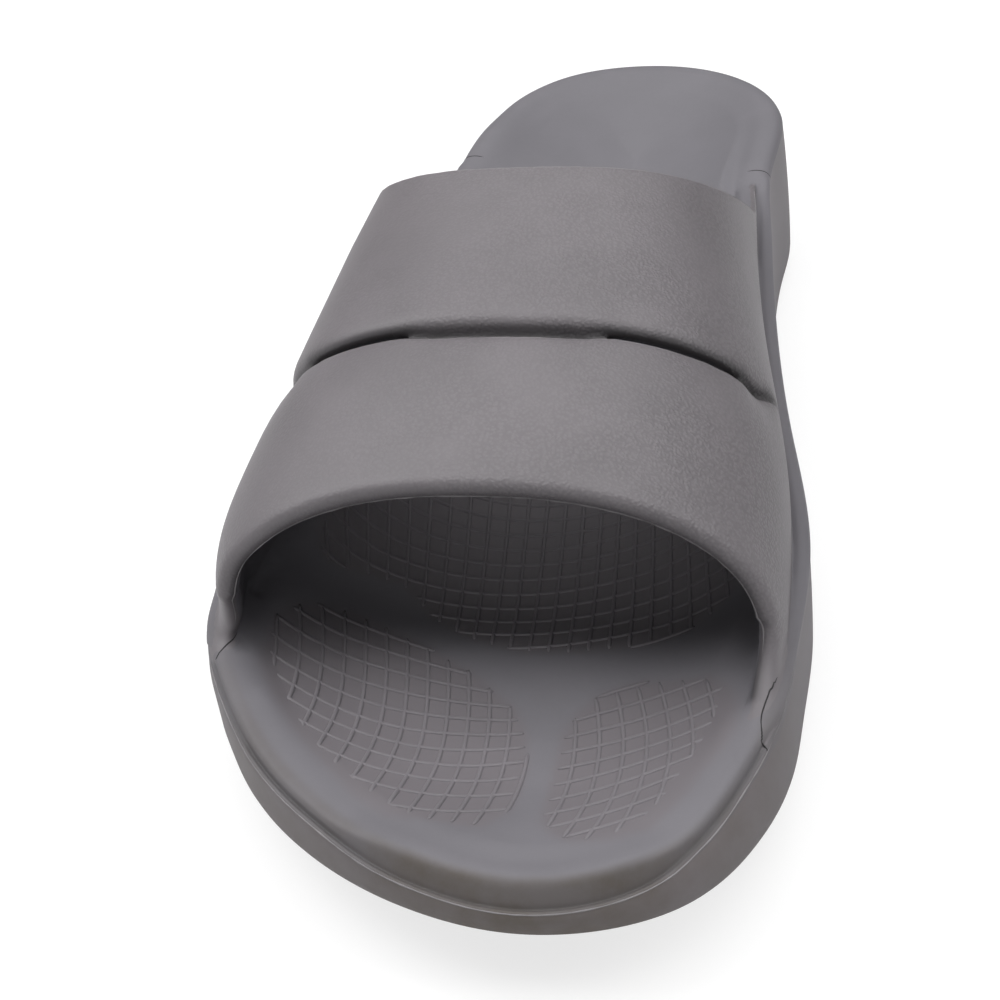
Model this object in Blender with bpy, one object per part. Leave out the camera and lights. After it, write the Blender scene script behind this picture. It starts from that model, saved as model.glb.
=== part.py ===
"""Sport slide sandal for the right foot, moulded whole from soft foam.

Run with blender --background --python part.py, or from Blender's text editor.
Metres, +Z up. The toe points to -Y, the heel to +Y and the inner side of the foot to +X.
The origin is on the floor, under the middle of the sole.
"""

import bmesh
import bpy
import numpy as np

MM = 0.001

# Sole seen from above
LENGTH = 296 * MM
BALL_WIDTH = 113 * MM
HEEL_WIDTH = 90 * MM

# Heights above the floor
TOE_EDGE_HEIGHT = 20 * MM
HEEL_EDGE_HEIGHT = 39 * MM
BALL_STACK = 17 * MM
HEEL_STACK = 28 * MM
TOE_SPRING = 12.2 * MM
WAIST_LIFT = 3 * MM
HEEL_LIFT = 3.5 * MM

# Footbed
CUP_DEPTH = 10.5 * MM
ARCH_RISE = 6 * MM
TOE_BAR_RISE = 3 * MM
TOE_BAR_SPREAD = 13 * MM
TOE_BAR_RADIUS = 102 * MM
TOE_BAR_SHIFT = 9 * MM
FOOTBED_INSET = 12 * MM

# Edge of the sole
BOTTOM_EDGE_RADIUS = 6 * MM
HEEL_TAPER = 4 * MM
TOE_RIM_WIDTH = 8 * MM
TOE_RIM_RISE = 4 * MM
BEAD_WIDTH = 4.4 * MM
BEAD_RISE = 2.2 * MM
HEEL_RIM_WIDTH = 9 * MM
HEEL_RIM_RISE = 2.3 * MM
RIM_BLEND = 5 * MM
BOWL_BLEND = 28 * MM

# Strap
STRAP_FRONT_HEIGHT = 63 * MM
STRAP_REAR_HEIGHT = 83.6 * MM
STRAP_WALL = 4.4 * MM
STRAP_ROOT = 11 * MM
STRAP_TUCK = 0.5 * MM
STRAP_INSET = 3.5 * MM
EDGE_ROLL = 3.9 * MM
REAR_ROLL = 1.0 * MM
GROOVE_DEPTH = 3.2 * MM
GROOVE_REACH = 9 * MM
FRONT_LEAN = 2.8 * MM
REAR_LEAN = 1.4 * MM
FRONT_SQUARENESS = 2.3
REAR_SQUARENESS = 2.65

# Grooves of the tread
TREAD_DEPTH = 2 * MM
TREAD_WIDTH = 3.4 * MM
TREAD_SWING = 3 * MM
TREAD_PITCH = 19 * MM

# Fineness of the lofts
OUTLINE_POINTS = 88
STRAP_COLUMNS = 40

# Outline from above: place, share of LENGTH behind the toe tip, then how far to the inner
# side of the foot as a share of the width named last
OUTLINE = (
    ("toe tip", 0.000, 0.100, BALL_WIDTH),
    ("outer toe", 0.010, -0.030, BALL_WIDTH),
    ("outer toe bend", 0.036, -0.170, BALL_WIDTH),
    ("outer toe corner", 0.110, -0.376, BALL_WIDTH),
    ("outer front bend", 0.150, -0.443, BALL_WIDTH),
    ("outer front seam", 0.184, -0.490, BALL_WIDTH),
    ("outer ball", 0.280, -0.521, BALL_WIDTH),
    ("outer ball back", 0.410, -0.490, BALL_WIDTH),
    ("outer waist", 0.570, -0.550, HEEL_WIDTH),
    ("outer heel front", 0.720, -0.503, HEEL_WIDTH),
    ("outer heel", 0.840, -0.480, HEEL_WIDTH),
    ("outer heel bend", 0.935, -0.375, HEEL_WIDTH),
    ("outer heel back", 0.986, -0.205, HEEL_WIDTH),
    ("heel back", 1.000, -0.010, HEEL_WIDTH),
    ("inner heel back", 0.986, 0.212, HEEL_WIDTH),
    ("inner heel bend", 0.940, 0.390, HEEL_WIDTH),
    ("inner heel", 0.870, 0.480, HEEL_WIDTH),
    ("inner heel front", 0.790, 0.473, HEEL_WIDTH),
    ("inner waist", 0.650, 0.474, HEEL_WIDTH),
    ("inner waist front", 0.550, 0.501, HEEL_WIDTH),
    ("inner ball back", 0.430, 0.443, BALL_WIDTH),
    ("inner ball", 0.290, 0.495, BALL_WIDTH),
    ("inner ball front", 0.215, 0.489, BALL_WIDTH),
    ("inner front seam", 0.140, 0.475, BALL_WIDTH),
    ("inner toe corner", 0.085, 0.434, BALL_WIDTH),
    ("inner toe bend", 0.036, 0.355, BALL_WIDTH),
    ("inner toe", 0.009, 0.243, BALL_WIDTH),
)

# Heights along the sole: share of LENGTH, share of the way from the toe edge's height
# to the heel edge's
EDGE_RISE = ((0.0, 0.0), (0.02, 0.03), (0.05, 0.12), (0.10, 0.145), (0.16, 0.165), (0.27, 0.24),
             (0.42, 0.36), (0.58, 0.58), (0.75, 0.86), (0.88, 1.0), (1.0, 1.0))
# Share of LENGTH, share of the way from BALL_STACK to HEEL_STACK
SEAT_RISE = ((0.0, 0.42), (0.05, 0.28), (0.11, 0.10), (0.18, 0.0), (0.32, 0.0), (0.46, 0.30),
             (0.62, 0.74), (0.78, 0.96), (0.90, 1.0), (1.0, 1.0))
# Middle of the arch's rise, its spread, and the toe bar's place, share of LENGTH
ARCH_PLACE = 0.60
ARCH_SPREAD = 0.16
TOE_BAR_PLACE = 0.205
# Share of LENGTH, rise at the footbed's edge as a share of CUP_DEPTH, and the reach
# of that rise as a share of BALL_WIDTH
CUP = ((0.0, 0.12, 0.16), (0.06, 0.30, 0.17), (0.12, 0.42, 0.17), (0.20, 0.35, 0.14),
       (0.28, 0.26, 0.13), (0.42, 0.26, 0.14), (0.60, 0.40, 0.24), (0.75, 0.80, 0.32),
       (0.90, 1.0, 0.34), (1.0, 1.0, 0.34))
# Share of LENGTH, then shares of TOE_SPRING, WAIST_LIFT and HEEL_LIFT under the sole
UNDERSIDE = (
    (0.00, 1.0, 0.0, 0.0),
    (0.06, 0.76, 0.0, 0.0),
    (0.12, 0.52, 0.0, 0.0),
    (0.19, 0.22, 0.0, 0.0),
    (0.25, 0.04, 0.0, 0.0),
    (0.28, 0.0, 0.0, 0.0),
    (0.42, 0.0, 0.0, 0.0),
    (0.48, 0.0, 0.5, 0.0),
    (0.56, 0.0, 1.0, 0.0),
    (0.64, 0.0, 0.5, 0.0),
    (0.70, 0.0, 0.0, 0.0),
    (0.88, 0.0, 0.0, 0.0),
    (0.94, 0.0, 0.0, 0.3),
    (1.00, 0.0, 0.0, 1.0),
)
# Share of LENGTH, share of HEEL_TAPER by which the wall leans in up to the parting line, on
# the outer and on the inner side
WALL_LEAN = (
    (0.00, 0.10, 0.10),
    (0.04, 0.10, 0.40),
    (0.09, 0.05, 0.60),
    (0.15, 0.00, 0.45),
    (0.25, 0.00, 0.20),
    (0.35, 0.00, 0.10),
    (0.55, 0.10, 0.00),
    (0.66, 0.30, 0.05),
    (0.78, 0.80, 0.50),
    (0.88, 0.90, 0.35),
    (0.94, 0.50, 0.15),
    (1.00, 0.10, 0.00),
)
# Bottom edge from the tread up: inset and rise as shares of BOTTOM_EDGE_RADIUS
BOTTOM_EDGE = ((1.00, 0.00), (0.62, 0.08), (0.29, 0.29), (0.08, 0.62), (0.00, 1.00))
# Edge from the parting line inwards: place, how far along the strap its section comes in,
# then inset and rise at the toe tip, at the toe's sides, beside the strap and at the heel, as
# shares of the rim's or bead's width and rise there
EDGE_SECTION = (
    ("parting line", RIM_BLEND, 0.00, 0.00, 0.00, 0.00, 0.00, 0.00, 0.00, 0.00),
    ("rim's foot", RIM_BLEND, 0.16, 0.04, 0.17, 0.02, -0.04, 0.30, 0.02, 0.30),
    ("face", RIM_BLEND, 0.29, 0.46, 0.21, 0.22, -0.04, 0.50, 0.06, 0.55),
    ("crest outside", RIM_BLEND, 0.40, 0.82, 0.27, 0.38, 0.14, 0.88, 0.17, 0.85),
    ("crest", RIM_BLEND, 0.53, 0.97, 0.40, 0.46, 0.46, 1.00, 0.36, 1.00),
    ("crest inside", BOWL_BLEND, 0.72, 0.96, 0.62, 0.44, 0.80, 0.66, 0.64, 0.86),
    ("bowl edge", BOWL_BLEND, 1.00, 0.84, 1.00, 0.32, 1.00, 0.00, 1.00, 0.30),
)
# Rings of the footbed from its edge to its middle line, of the tread and of the wall, as
# shares of the way
FOOTBED_RINGS = (0.0, 0.10, 0.22, 0.38, 0.58, 0.80, 1.0)
TREAD_RINGS = (1.0, 0.66, 0.33)
WALL_RINGS = (0.35, 0.7)
# Share of LENGTH up to which the tip's section reaches, and over which it fades out
TIP_REACH = 0.012
TIP_BLEND = 0.034
# Share of the outline that fans out from each end of the middle line
END_FAN = 0.11

# Seams where the strap's foot begins and ends, share of LENGTH: outer side, inner side
FRONT_SEAM = (0.181, 0.129)
REAR_SEAM = (0.806, 0.770)
# Share of LENGTH over which the strap's foot spreads forwards until it is flush with the edge
STRAP_FLARE = 0.18
# The strap's two edges on its centre line, share of LENGTH
STRAP_FRONT = 0.190
STRAP_REAR = 0.464
# Height share up the arch, then how far each edge has come from its place on the centre line
# to the seam, at the front and at the rear
STRAP_SWEEP = ((0.0, 1.0, 1.0), (0.06, 0.88, 0.88), (0.14, 0.42, 0.74), (0.26, 0.13, 0.54),
               (0.41, 0.02, 0.40), (0.58, 0.0, 0.26), (0.80, 0.0, 0.11), (1.0, 0.0, 0.0))
# Share of the way from the front edge to the rear one on the centre line, share of the rise
STRAP_CROWN = ((-1.0, -1.2), (0.0, 0.0), (0.40, 0.48), (1.0, 1.0), (1.8, 1.6), (2.4, 1.9))
# Groove between the two bands: share of the way from the rear edge to the front one, and the
# ends of the groove and of the slots in it as shares of the way over the arch
GROOVE_PLACE = 0.565
GROOVE_ENDS = (0.085, 0.893)
GROOVE_FADE = 0.05
SLOTS = ((0.235, 0.405), (0.594, 0.795))
# Share of the edge's roll in from an edge of the strap, share of it below the surface
ROLL = ((0.0, 1.0), (0.01, 0.50), (0.10, 0.19), (0.35, 0.04), (0.80, 0.0))
# Share of GROOVE_REACH in front of the groove's floor, share of GROOVE_DEPTH
GROOVE = ((-0.55, 0.0), (-0.33, 0.09), (-0.21, 0.30), (-0.16, 0.65), (-0.13, 1.05), (-0.04, 1.10),
          (0.0, 1.02), (0.04, 0.70), (0.22, 0.46), (0.6, 0.20), (1.3, 0.0))
# How far the strap's outer face leans in over the rim at its front seams: height above the
# parting line as a share of TOE_RIM_RISE, share of TOE_RIM_WIDTH; and the share of LENGTH
# behind the seam over which it straightens
FOOT_FACE = ((0.0, 0.0), (0.45, 0.16), (0.9, 0.33), (1.4, 0.41), (2.1, 0.38), (3.5, 0.20),
             (5.5, 0.0))
FOOT_BLEND = 0.085
# The slots' two sides, share of GROOVE_REACH behind and in front of the groove's place
SLOT_SIDES = (0.10, 0.02)
REAR_BAND_ROWS = 4
FRONT_BAND_ROWS = 3
LINING_ROWS = 12

# Tread grooves, share of LENGTH
TREAD_PLACES = (0.285, 0.318, 0.382, 0.415, 0.715, 0.748, 0.832, 0.865)

FOAM_COLOUR = (0.125, 0.120, 0.126, 1.0)
FOAM_ROUGHNESS = 0.62


def column(table, number):
    return np.array([row[number] for row in table])


def follow(table, number, at):
    """A smooth curve through a table's column that never overshoots its values."""
    places, values = column(table, 0), column(table, number)
    step = np.diff(places)
    slope = np.diff(values) / step
    bend = np.concatenate([slope[:1], np.zeros(len(places) - 2), slope[-1:]])
    climbs = slope[:-1] * slope[1:] > 0
    both = np.where(climbs, slope[:-1] + slope[1:], 1.0)
    bend[1:-1] = np.where(climbs, 2 * slope[:-1] * slope[1:] / both, 0.0)
    at = np.clip(at, places[0], places[-1])
    row = np.clip(np.searchsorted(places, at) - 1, 0, len(places) - 2)
    t = (at - places[row]) / step[row]
    return (
        values[row] * (1 + 2 * t) * (1 - t) ** 2
        + values[row + 1] * t * t * (3 - 2 * t)
        + bend[row] * step[row] * t * (1 - t) ** 2
        + bend[row + 1] * step[row] * t * t * (t - 1)
    )


def ease(t):
    """From 0 to 1 with soft ends."""
    t = np.clip(t, 0.0, 1.0)
    return t * t * (3 - 2 * t)


def smooth_outline():
    """A closed cubic spline through the outline's rows, centred on the origin."""
    knots = np.stack([column(OUTLINE, 2) * column(OUTLINE, 3), column(OUTLINE, 1) * LENGTH], 1)
    total = len(knots)
    chord = np.linalg.norm(np.roll(knots, -1, 0) - knots, axis=1)
    before = np.roll(chord, 1)
    matrix = np.diag(2 * (before + chord))
    for row in range(total):
        matrix[row, (row + 1) % total] += chord[row]
        matrix[row, row - 1] += before[row]
    rise = (np.roll(knots, -1, 0) - knots) / chord[:, None]
    curve = np.linalg.solve(matrix, 6 * (rise - np.roll(rise, 1, 0)))
    fine = []
    for row in range(total):
        after = (row + 1) % total
        t = np.linspace(0, 1, 60, endpoint=False)[:, None]
        span = chord[row] ** 2 / 6
        fine.append(
            knots[row] * (1 - t) + knots[after] * t
            + span * ((1 - t) ** 3 - (1 - t)) * curve[row]
            + span * (t ** 3 - t) * curve[after]
        )
    fine = np.concatenate(fine)
    fine -= (fine.max(0) + fine.min(0)) / 2
    return np.roll(fine, -fine[:, 1].argmin(), 0)


def outline(count):
    """Points round the sole: from the toe tip by the outer side to the heel and back."""
    fine = smooth_outline()
    heel = fine[:, 1].argmax()
    halves = []
    for half in (fine[: heel + 1], np.concatenate([fine[heel:], fine[:1]])):
        run = np.concatenate([[0], np.cumsum(np.linalg.norm(np.diff(half, axis=0), axis=1))])
        want = np.linspace(0, run[-1], int(count) // 2, endpoint=False)
        halves.append(np.stack([np.interp(want, run, half[:, k]) for k in (0, 1)], 1))
    return np.concatenate(halves)


def inward(points):
    """Unit directions from a closed outline towards its inside."""
    tangent = np.roll(points, -1, 0) - np.roll(points, 1, 0)
    tangent /= np.linalg.norm(tangent, axis=1)[:, None]
    normal = np.stack([-tangent[:, 1], tangent[:, 0]], 1)
    return normal * np.sign((normal * -points).sum())


def along(y):
    """Share of LENGTH behind the toe tip."""
    return y / LENGTH + 0.5


def place(share):
    """The reverse of along."""
    return (share - 0.5) * LENGTH


def edge_height(y):
    rise = follow(EDGE_RISE, 1, along(y))
    return TOE_EDGE_HEIGHT + (HEEL_EDGE_HEIGHT - TOE_EDGE_HEIGHT) * rise


def under_height(y):
    lifts = (TOE_SPRING, WAIST_LIFT, HEEL_LIFT)
    return sum(lift * follow(UNDERSIDE, 1 + k, along(y)) for k, lift in enumerate(lifts))


def wall_lean(x, y):
    sides = [follow(WALL_LEAN, number, along(y)) for number in (1, 2)]
    return HEEL_TAPER * by_side(sides, x)


def by_side(pair, x):
    """A value that differs between the outer and the inner side of the foot."""
    return pair[0] + (pair[1] - pair[0]) * ease(x / BALL_WIDTH * 4 + 0.5)


def zones(points, blend):
    """How much of the tip's, the toe's, the strap's and the heel's section each point has."""
    share = along(points[:, 1])
    toe = 1 - ease((share - by_side(FRONT_SEAM, points[:, 0])) * LENGTH / blend)
    heel = 1 - ease((by_side(REAR_SEAM, points[:, 0]) - share) * LENGTH / blend)
    tip = 1 - ease((share - TIP_REACH) / TIP_BLEND)
    return toe * tip, toe * (1 - tip), 1 - toe - heel, heel


def footbed_height(x, y, inset):
    """Height of the footbed, inset from its own edge by that much."""
    share = along(y)
    seat = BALL_STACK + (HEEL_STACK - BALL_STACK) * follow(SEAT_RISE, 1, share)
    reach = BALL_WIDTH * follow(CUP, 2, share)
    hollow = np.clip(1 - inset / reach, 0.0, 1.0) ** 1.8
    cup = CUP_DEPTH * follow(CUP, 1, share) * hollow
    arch = ARCH_RISE * np.exp(-(((share - ARCH_PLACE) / ARCH_SPREAD) ** 2))
    arch = arch * ease(x / HEEL_WIDTH * 2.2)
    bar_line = place(TOE_BAR_PLACE) + (x - TOE_BAR_SHIFT) ** 2 / (2 * TOE_BAR_RADIUS)
    bar = TOE_BAR_RISE * np.exp(-(((y - bar_line) / TOE_BAR_SPREAD) ** 2))
    return seat + cup + arch + bar


def spine_of(ring):
    """For each point of a ring, the point on the middle line that faces it."""
    count = len(ring)
    middle = (ring + np.roll(ring[::-1], 1, 0)) / 2
    index = np.minimum(np.arange(count), count - np.arange(count))
    fan = int(count * END_FAN)
    return middle[np.clip(index, fan, count // 2 - fan)]


def distance(points, line):
    """How far each point lies from the nearest point of a line."""
    return np.linalg.norm(points[:, None] - line[None], axis=2).min(1)


def joined(xy, z):
    return np.column_stack([xy, z])


def sole_rings(count):
    """Rings of the sole, from the middle of the tread out, up the wall and in to the footbed."""
    points = outline(count)
    normal = inward(points)
    x, y = points.T
    lean, edge, under = wall_lean(x, y), edge_height(y), under_height(y)
    rings = []
    corner = points + normal * BOTTOM_EDGE_RADIUS
    spine = spine_of(corner)
    for t in TREAD_RINGS:
        xy = corner + (spine - corner) * t
        rings.append(joined(xy, under_height(xy[:, 1])))
    for inset, rise in BOTTOM_EDGE:
        xy = points + normal * inset * BOTTOM_EDGE_RADIUS
        rings.append(joined(xy, under + rise * BOTTOM_EDGE_RADIUS))
    wall_foot = under + BOTTOM_EDGE_RADIUS
    for t in WALL_RINGS:
        xy = points + normal * (lean * t * t)[:, None]
        rings.append(joined(xy, wall_foot + (edge - wall_foot) * t))
    widths = (TOE_RIM_WIDTH, TOE_RIM_WIDTH, BEAD_WIDTH, HEEL_RIM_WIDTH)
    rises = (TOE_RIM_RISE, TOE_RIM_RISE, BEAD_RISE, HEEL_RIM_RISE)
    for row in EDGE_SECTION:
        weights = zones(points, row[1])
        inset = sum(w * row[2 + 2 * k] * widths[k] for k, w in enumerate(weights))
        rise = sum(w * row[3 + 2 * k] * rises[k] for k, w in enumerate(weights))
        rings.append(joined(points + normal * (lean + inset)[:, None], edge + rise))
    bed = points + normal * (lean + FOOTBED_INSET)[:, None]
    spine = spine_of(bed)
    for t in FOOTBED_RINGS:
        xy = bed + (spine - bed) * t
        rings.append(joined(xy, footbed_height(xy[:, 0], xy[:, 1], distance(xy, bed))))
    return np.array(rings)


def mesh_object(name, points, faces, collection, material=None):
    """A named object from a grid's points and faces, with its doubled points made one."""
    mesh = bpy.data.meshes.new(name)
    mesh.from_pydata([tuple(p) for p in points], [], faces)
    work = bmesh.new()
    work.from_mesh(mesh)
    bmesh.ops.remove_doubles(work, verts=work.verts, dist=1e-6)
    bmesh.ops.recalc_face_normals(work, faces=work.faces)
    work.to_mesh(mesh)
    work.free()
    made = bpy.data.objects.new(name, mesh)
    collection.objects.link(made)
    if material:
        mesh.materials.append(material)
    mesh.shade_smooth()
    mesh.set_sharp_from_angle(angle=0.7)
    return made


def loft(name, rings, collection, material=None, caps=False):
    """Closed rings of equally many points, skinned in order."""
    count = rings.shape[1]
    faces = []
    for ring in range(len(rings) - 1):
        for k in range(count):
            after = (k + 1) % count
            low, high = ring * count, (ring + 1) * count
            faces.append((low + k, low + after, high + after, high + k))
    if caps:
        faces.append(tuple(range(count))[::-1])
        faces.append(tuple(range((len(rings) - 1) * count, len(rings) * count)))
    return mesh_object(name, rings.reshape(-1, 3), faces, collection, material)


class Strap:
    """The strap's outer surface: across is 0 at the outer side's foot and 1 at the inner's."""

    def __init__(self):
        points = outline(480)
        share = along(points[:, 1])
        front = by_side(FRONT_SEAM, points[:, 0])
        flush = ease((share - front) / STRAP_FLARE)
        inset = STRAP_TUCK + (STRAP_INSET - STRAP_TUCK) * flush
        inset = inset + wall_lean(points[:, 0], points[:, 1])
        foot = points + inward(points) * inset[:, None]
        half = len(foot) // 2
        self.outer = foot[: half + 1]
        self.inner = np.concatenate([foot[half:], foot[:1]])[::-1]

    def feet(self, y):
        return tuple(np.interp(y, side[:, 1], side[:, 0]) for side in (self.outer, self.inner))

    def top_height(self, y):
        share = (along(y) - STRAP_FRONT) / (STRAP_REAR - STRAP_FRONT)
        rise = follow(STRAP_CROWN, 1, share)
        return STRAP_FRONT_HEIGHT + (STRAP_REAR_HEIGHT - STRAP_FRONT_HEIGHT) * rise

    def arch(self, y, across):
        """Share of the half width, share of the height, lean to the inner side, root's depth."""
        angle = np.pi * np.clip(across, 0.0, 1.0)
        back = np.clip((along(y) - STRAP_FRONT) / (STRAP_REAR - STRAP_FRONT), 0.0, 1.0)
        power = 2 / (FRONT_SQUARENESS + (REAR_SQUARENESS - FRONT_SQUARENESS) * back)
        wide = np.sign(np.cos(angle)) * np.abs(np.cos(angle)) ** power
        high = np.abs(np.sin(angle)) ** power
        lean = (FRONT_LEAN + (REAR_LEAN - FRONT_LEAN) * back) * high
        root = np.maximum(-across, 0.0) + np.maximum(across - 1, 0.0)
        return wide, high, lean, root

    def edges(self, across):
        """Places of the rear and the front edge."""
        high = np.abs(np.sin(np.pi * np.clip(across, 0.0, 1.0))) ** (2 / REAR_SQUARENESS)
        inner = across > 0.5
        seams = [np.where(inner, pair[1], pair[0]) for pair in (REAR_SEAM, FRONT_SEAM)]
        rear = STRAP_REAR + (seams[0] - STRAP_REAR) * follow(STRAP_SWEEP, 2, high)
        front = STRAP_FRONT + (seams[1] - STRAP_FRONT) * follow(STRAP_SWEEP, 1, high)
        return place(rear), place(front)

    def at(self, y, across):
        wide, high, lean, root = self.arch(y, across)
        outer, inner = self.feet(y)
        foot = edge_height(y)
        x = (outer + inner) / 2 - (inner - outer) / 2 * wide + lean
        z = foot + (self.top_height(y) - foot) * high - root
        return np.stack([x, y, z], -1)

    def normal(self, y, across):
        """Unit direction out of the surface."""
        small = 1e-4
        by_y = self.at(y + small, across) - self.at(y - small, across)
        by_across = self.at(y, across + small) - self.at(y, across - small)
        out = np.cross(by_across, by_y)
        return out / np.linalg.norm(out, axis=-1)[..., None]

    def below(self, y, across, depth):
        """A point at that depth under the surface, leaned in over the rim near a front seam."""
        spot = self.at(y, across)
        wide = self.arch(y, across)[0]
        seam = np.where(np.asarray(across) > 0.5, FRONT_SEAM[1], FRONT_SEAM[0])
        near = 1 - ease((along(y) - seam) / FOOT_BLEND)
        height = (spot[..., 2] - edge_height(y)) / TOE_RIM_RISE
        lean = np.interp(height, column(FOOT_FACE, 0), column(FOOT_FACE, 1)) * TOE_RIM_WIDTH
        spot[..., 0] += np.sign(wide) * np.abs(wide) ** 3 * near * lean
        return spot - self.normal(y, across) * np.asarray(depth)[..., None]


def strap_section(strap, across):
    """One closed section through the strap from its rear edge to its front edge and back."""
    rear, front = strap.edges(across)
    groove = rear + (front - rear) * GROOVE_PLACE
    ends = np.array(GROOVE_ENDS)
    depth = GROOVE_DEPTH * ease((across - ends[0]) / GROOVE_FADE)
    depth = depth * ease((ends[1] - across) / GROOVE_FADE)
    rows = [(rear - REAR_ROLL * a, REAR_ROLL * d) for a, d in ROLL]
    groove_rows = [(groove - GROOVE_REACH * a, depth * d) for a, d in GROOVE]
    for t in np.linspace(0, 1, REAR_BAND_ROWS + 2)[1:-1]:
        rows.append((rows[len(ROLL) - 1][0] * (1 - t) + groove_rows[0][0] * t, 0.0))
    rows += groove_rows
    last = groove_rows[-1][0]
    for t in np.linspace(0, 1, FRONT_BAND_ROWS + 2)[1:-1]:
        rows.append((last * (1 - t) + (front + EDGE_ROLL) * t, 0.0))
    rows += [(front + EDGE_ROLL * a, EDGE_ROLL * d) for a, d in reversed(ROLL)]
    rows += [(y, STRAP_WALL) for y in np.linspace(front, rear, LINING_ROWS)]
    y, depths = np.array(rows, float).T
    return strap.below(y, np.full(len(y), across), depths)


def root_columns():
    """Places across the strap, with the root's depth in metres below 0 and above 1."""
    over = (1 - np.cos(np.linspace(0, np.pi, STRAP_COLUMNS + 1))) / 2
    over = 0.5 * over + 0.5 * np.linspace(0, 1, STRAP_COLUMNS + 1)
    return np.concatenate([[-STRAP_ROOT, -STRAP_ROOT / 2], over, [1 + STRAP_ROOT / 2, 1 + STRAP_ROOT]])


def slot_cutter(strap, ends, collection, number):
    """A curved bar through the groove's floor."""
    rings = []
    for across in np.linspace(ends[0], ends[1], 13):
        rear, front = strap.edges(across)
        groove = rear + (front - rear) * GROOVE_PLACE
        tip = min(across - ends[0], ends[1] - across) / (ends[1] - ends[0])
        middle = (SLOT_SIDES[0] - SLOT_SIDES[1]) / 2
        half = (SLOT_SIDES[0] + SLOT_SIDES[1]) / 2 * (0.3 + 0.7 * ease(tip * 8))
        back = groove + (middle + half) * GROOVE_REACH
        fore = groove + (middle - half) * GROOVE_REACH
        y = np.array([back, fore, fore, back])
        depth = np.array([-1, -1, 1, 1]) * STRAP_WALL * 1.6
        rings.append(strap.below(y, np.full(4, across), depth))
    return loft(f"slot_cutter_{number}", np.array(rings), collection, caps=True)


def tread_cutter(collection):
    """Zigzag bars across the tread, each TREAD_DEPTH deep under the sole."""
    points, faces = [], []
    turns = int(np.ceil(0.55 * BALL_WIDTH / TREAD_PITCH))
    xs = np.arange(-turns, turns + 1) * TREAD_PITCH
    for share in TREAD_PLACES:
        line = place(share) + TREAD_SWING * (-1.0) ** np.arange(len(xs))
        first = len(points)
        for x, y in zip(xs, line):
            top = under_height(y) + TREAD_DEPTH
            for dy, z in ((-1, -TREAD_DEPTH), (1, -TREAD_DEPTH), (0.7, top), (-0.7, top)):
                points.append((x, y + dy * TREAD_WIDTH / 2, z))
        for k in range(len(xs) - 1):
            low = first + 4 * k
            for a in range(4):
                b = (a + 1) % 4
                faces.append((low + a, low + b, low + 4 + b, low + 4 + a))
        faces.append((first + 3, first + 2, first + 1, first))
        last = first + 4 * (len(xs) - 1)
        faces.append((last, last + 1, last + 2, last + 3))
    return mesh_object("tread_cutter", points, faces, collection)


def foam_material():
    foam = bpy.data.materials.new("foam")
    foam.use_nodes = True
    shader = foam.node_tree.nodes["Principled BSDF"]
    shader.inputs["Base Color"].default_value = FOAM_COLOUR
    shader.inputs["Roughness"].default_value = FOAM_ROUGHNESS
    shader.inputs["Metallic"].default_value = 0.0
    return foam


def combine(target, other, operation):
    step = target.modifiers.new(other.name, "BOOLEAN")
    step.operation = operation
    step.object = other
    other.hide_render = True
    other.display_type = "WIRE"


def main():
    for old in list(bpy.data.objects):
        bpy.data.objects.remove(old)
    shoe = bpy.data.collections.new("slide_sandal")
    helpers = bpy.data.collections.new("cutters")
    for made in (shoe, helpers):
        bpy.context.scene.collection.children.link(made)

    foam = foam_material()
    strap = Strap()
    sandal = loft("sandal", sole_rings(OUTLINE_POINTS), shoe, foam)
    sections = np.array([strap_section(strap, across) for across in root_columns()])
    band = loft("strap_form", sections, helpers, caps=True)
    combine(sandal, band, "UNION")
    for number, ends in enumerate(SLOTS):
        combine(sandal, slot_cutter(strap, ends, helpers, number), "DIFFERENCE")
    combine(sandal, tread_cutter(helpers), "DIFFERENCE")


main()
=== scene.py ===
"""Looks of the sport slide sandal: a finer foam body, its ribs, flash lines, grain and dirt, and
painted shade in its creases.
"""

import itertools

import bmesh
import bpy
import numpy as np
from mathutils import Matrix, Vector
from mathutils.bvhtree import BVHTree


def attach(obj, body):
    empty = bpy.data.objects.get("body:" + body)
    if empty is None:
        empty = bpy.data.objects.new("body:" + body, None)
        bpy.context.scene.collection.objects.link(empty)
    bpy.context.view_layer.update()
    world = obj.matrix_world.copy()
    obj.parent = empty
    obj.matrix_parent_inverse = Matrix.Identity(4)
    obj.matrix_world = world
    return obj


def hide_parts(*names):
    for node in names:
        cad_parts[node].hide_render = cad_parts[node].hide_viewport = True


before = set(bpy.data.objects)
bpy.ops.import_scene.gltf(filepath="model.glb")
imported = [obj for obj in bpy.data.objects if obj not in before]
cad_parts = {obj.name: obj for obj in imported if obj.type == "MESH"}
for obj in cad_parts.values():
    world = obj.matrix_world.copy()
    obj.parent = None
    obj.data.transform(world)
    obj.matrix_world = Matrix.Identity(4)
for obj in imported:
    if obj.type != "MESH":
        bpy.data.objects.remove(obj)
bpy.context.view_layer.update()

MM = 0.001

# Sole seen from above
LENGTH = 296 * MM
BALL_WIDTH = 113 * MM
HEEL_WIDTH = 90 * MM

# Heights above the floor
TOE_EDGE_HEIGHT = 20 * MM
HEEL_EDGE_HEIGHT = 39 * MM
BALL_STACK = 17 * MM
HEEL_STACK = 28 * MM
TOE_SPRING = 12.2 * MM
WAIST_LIFT = 3 * MM
HEEL_LIFT = 3.5 * MM

# Footbed
CUP_DEPTH = 10.5 * MM
ARCH_RISE = 6 * MM
TOE_BAR_RISE = 3 * MM
TOE_BAR_SPREAD = 13 * MM
TOE_BAR_RADIUS = 102 * MM
TOE_BAR_SHIFT = 9 * MM
FOOTBED_INSET = 12 * MM

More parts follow.
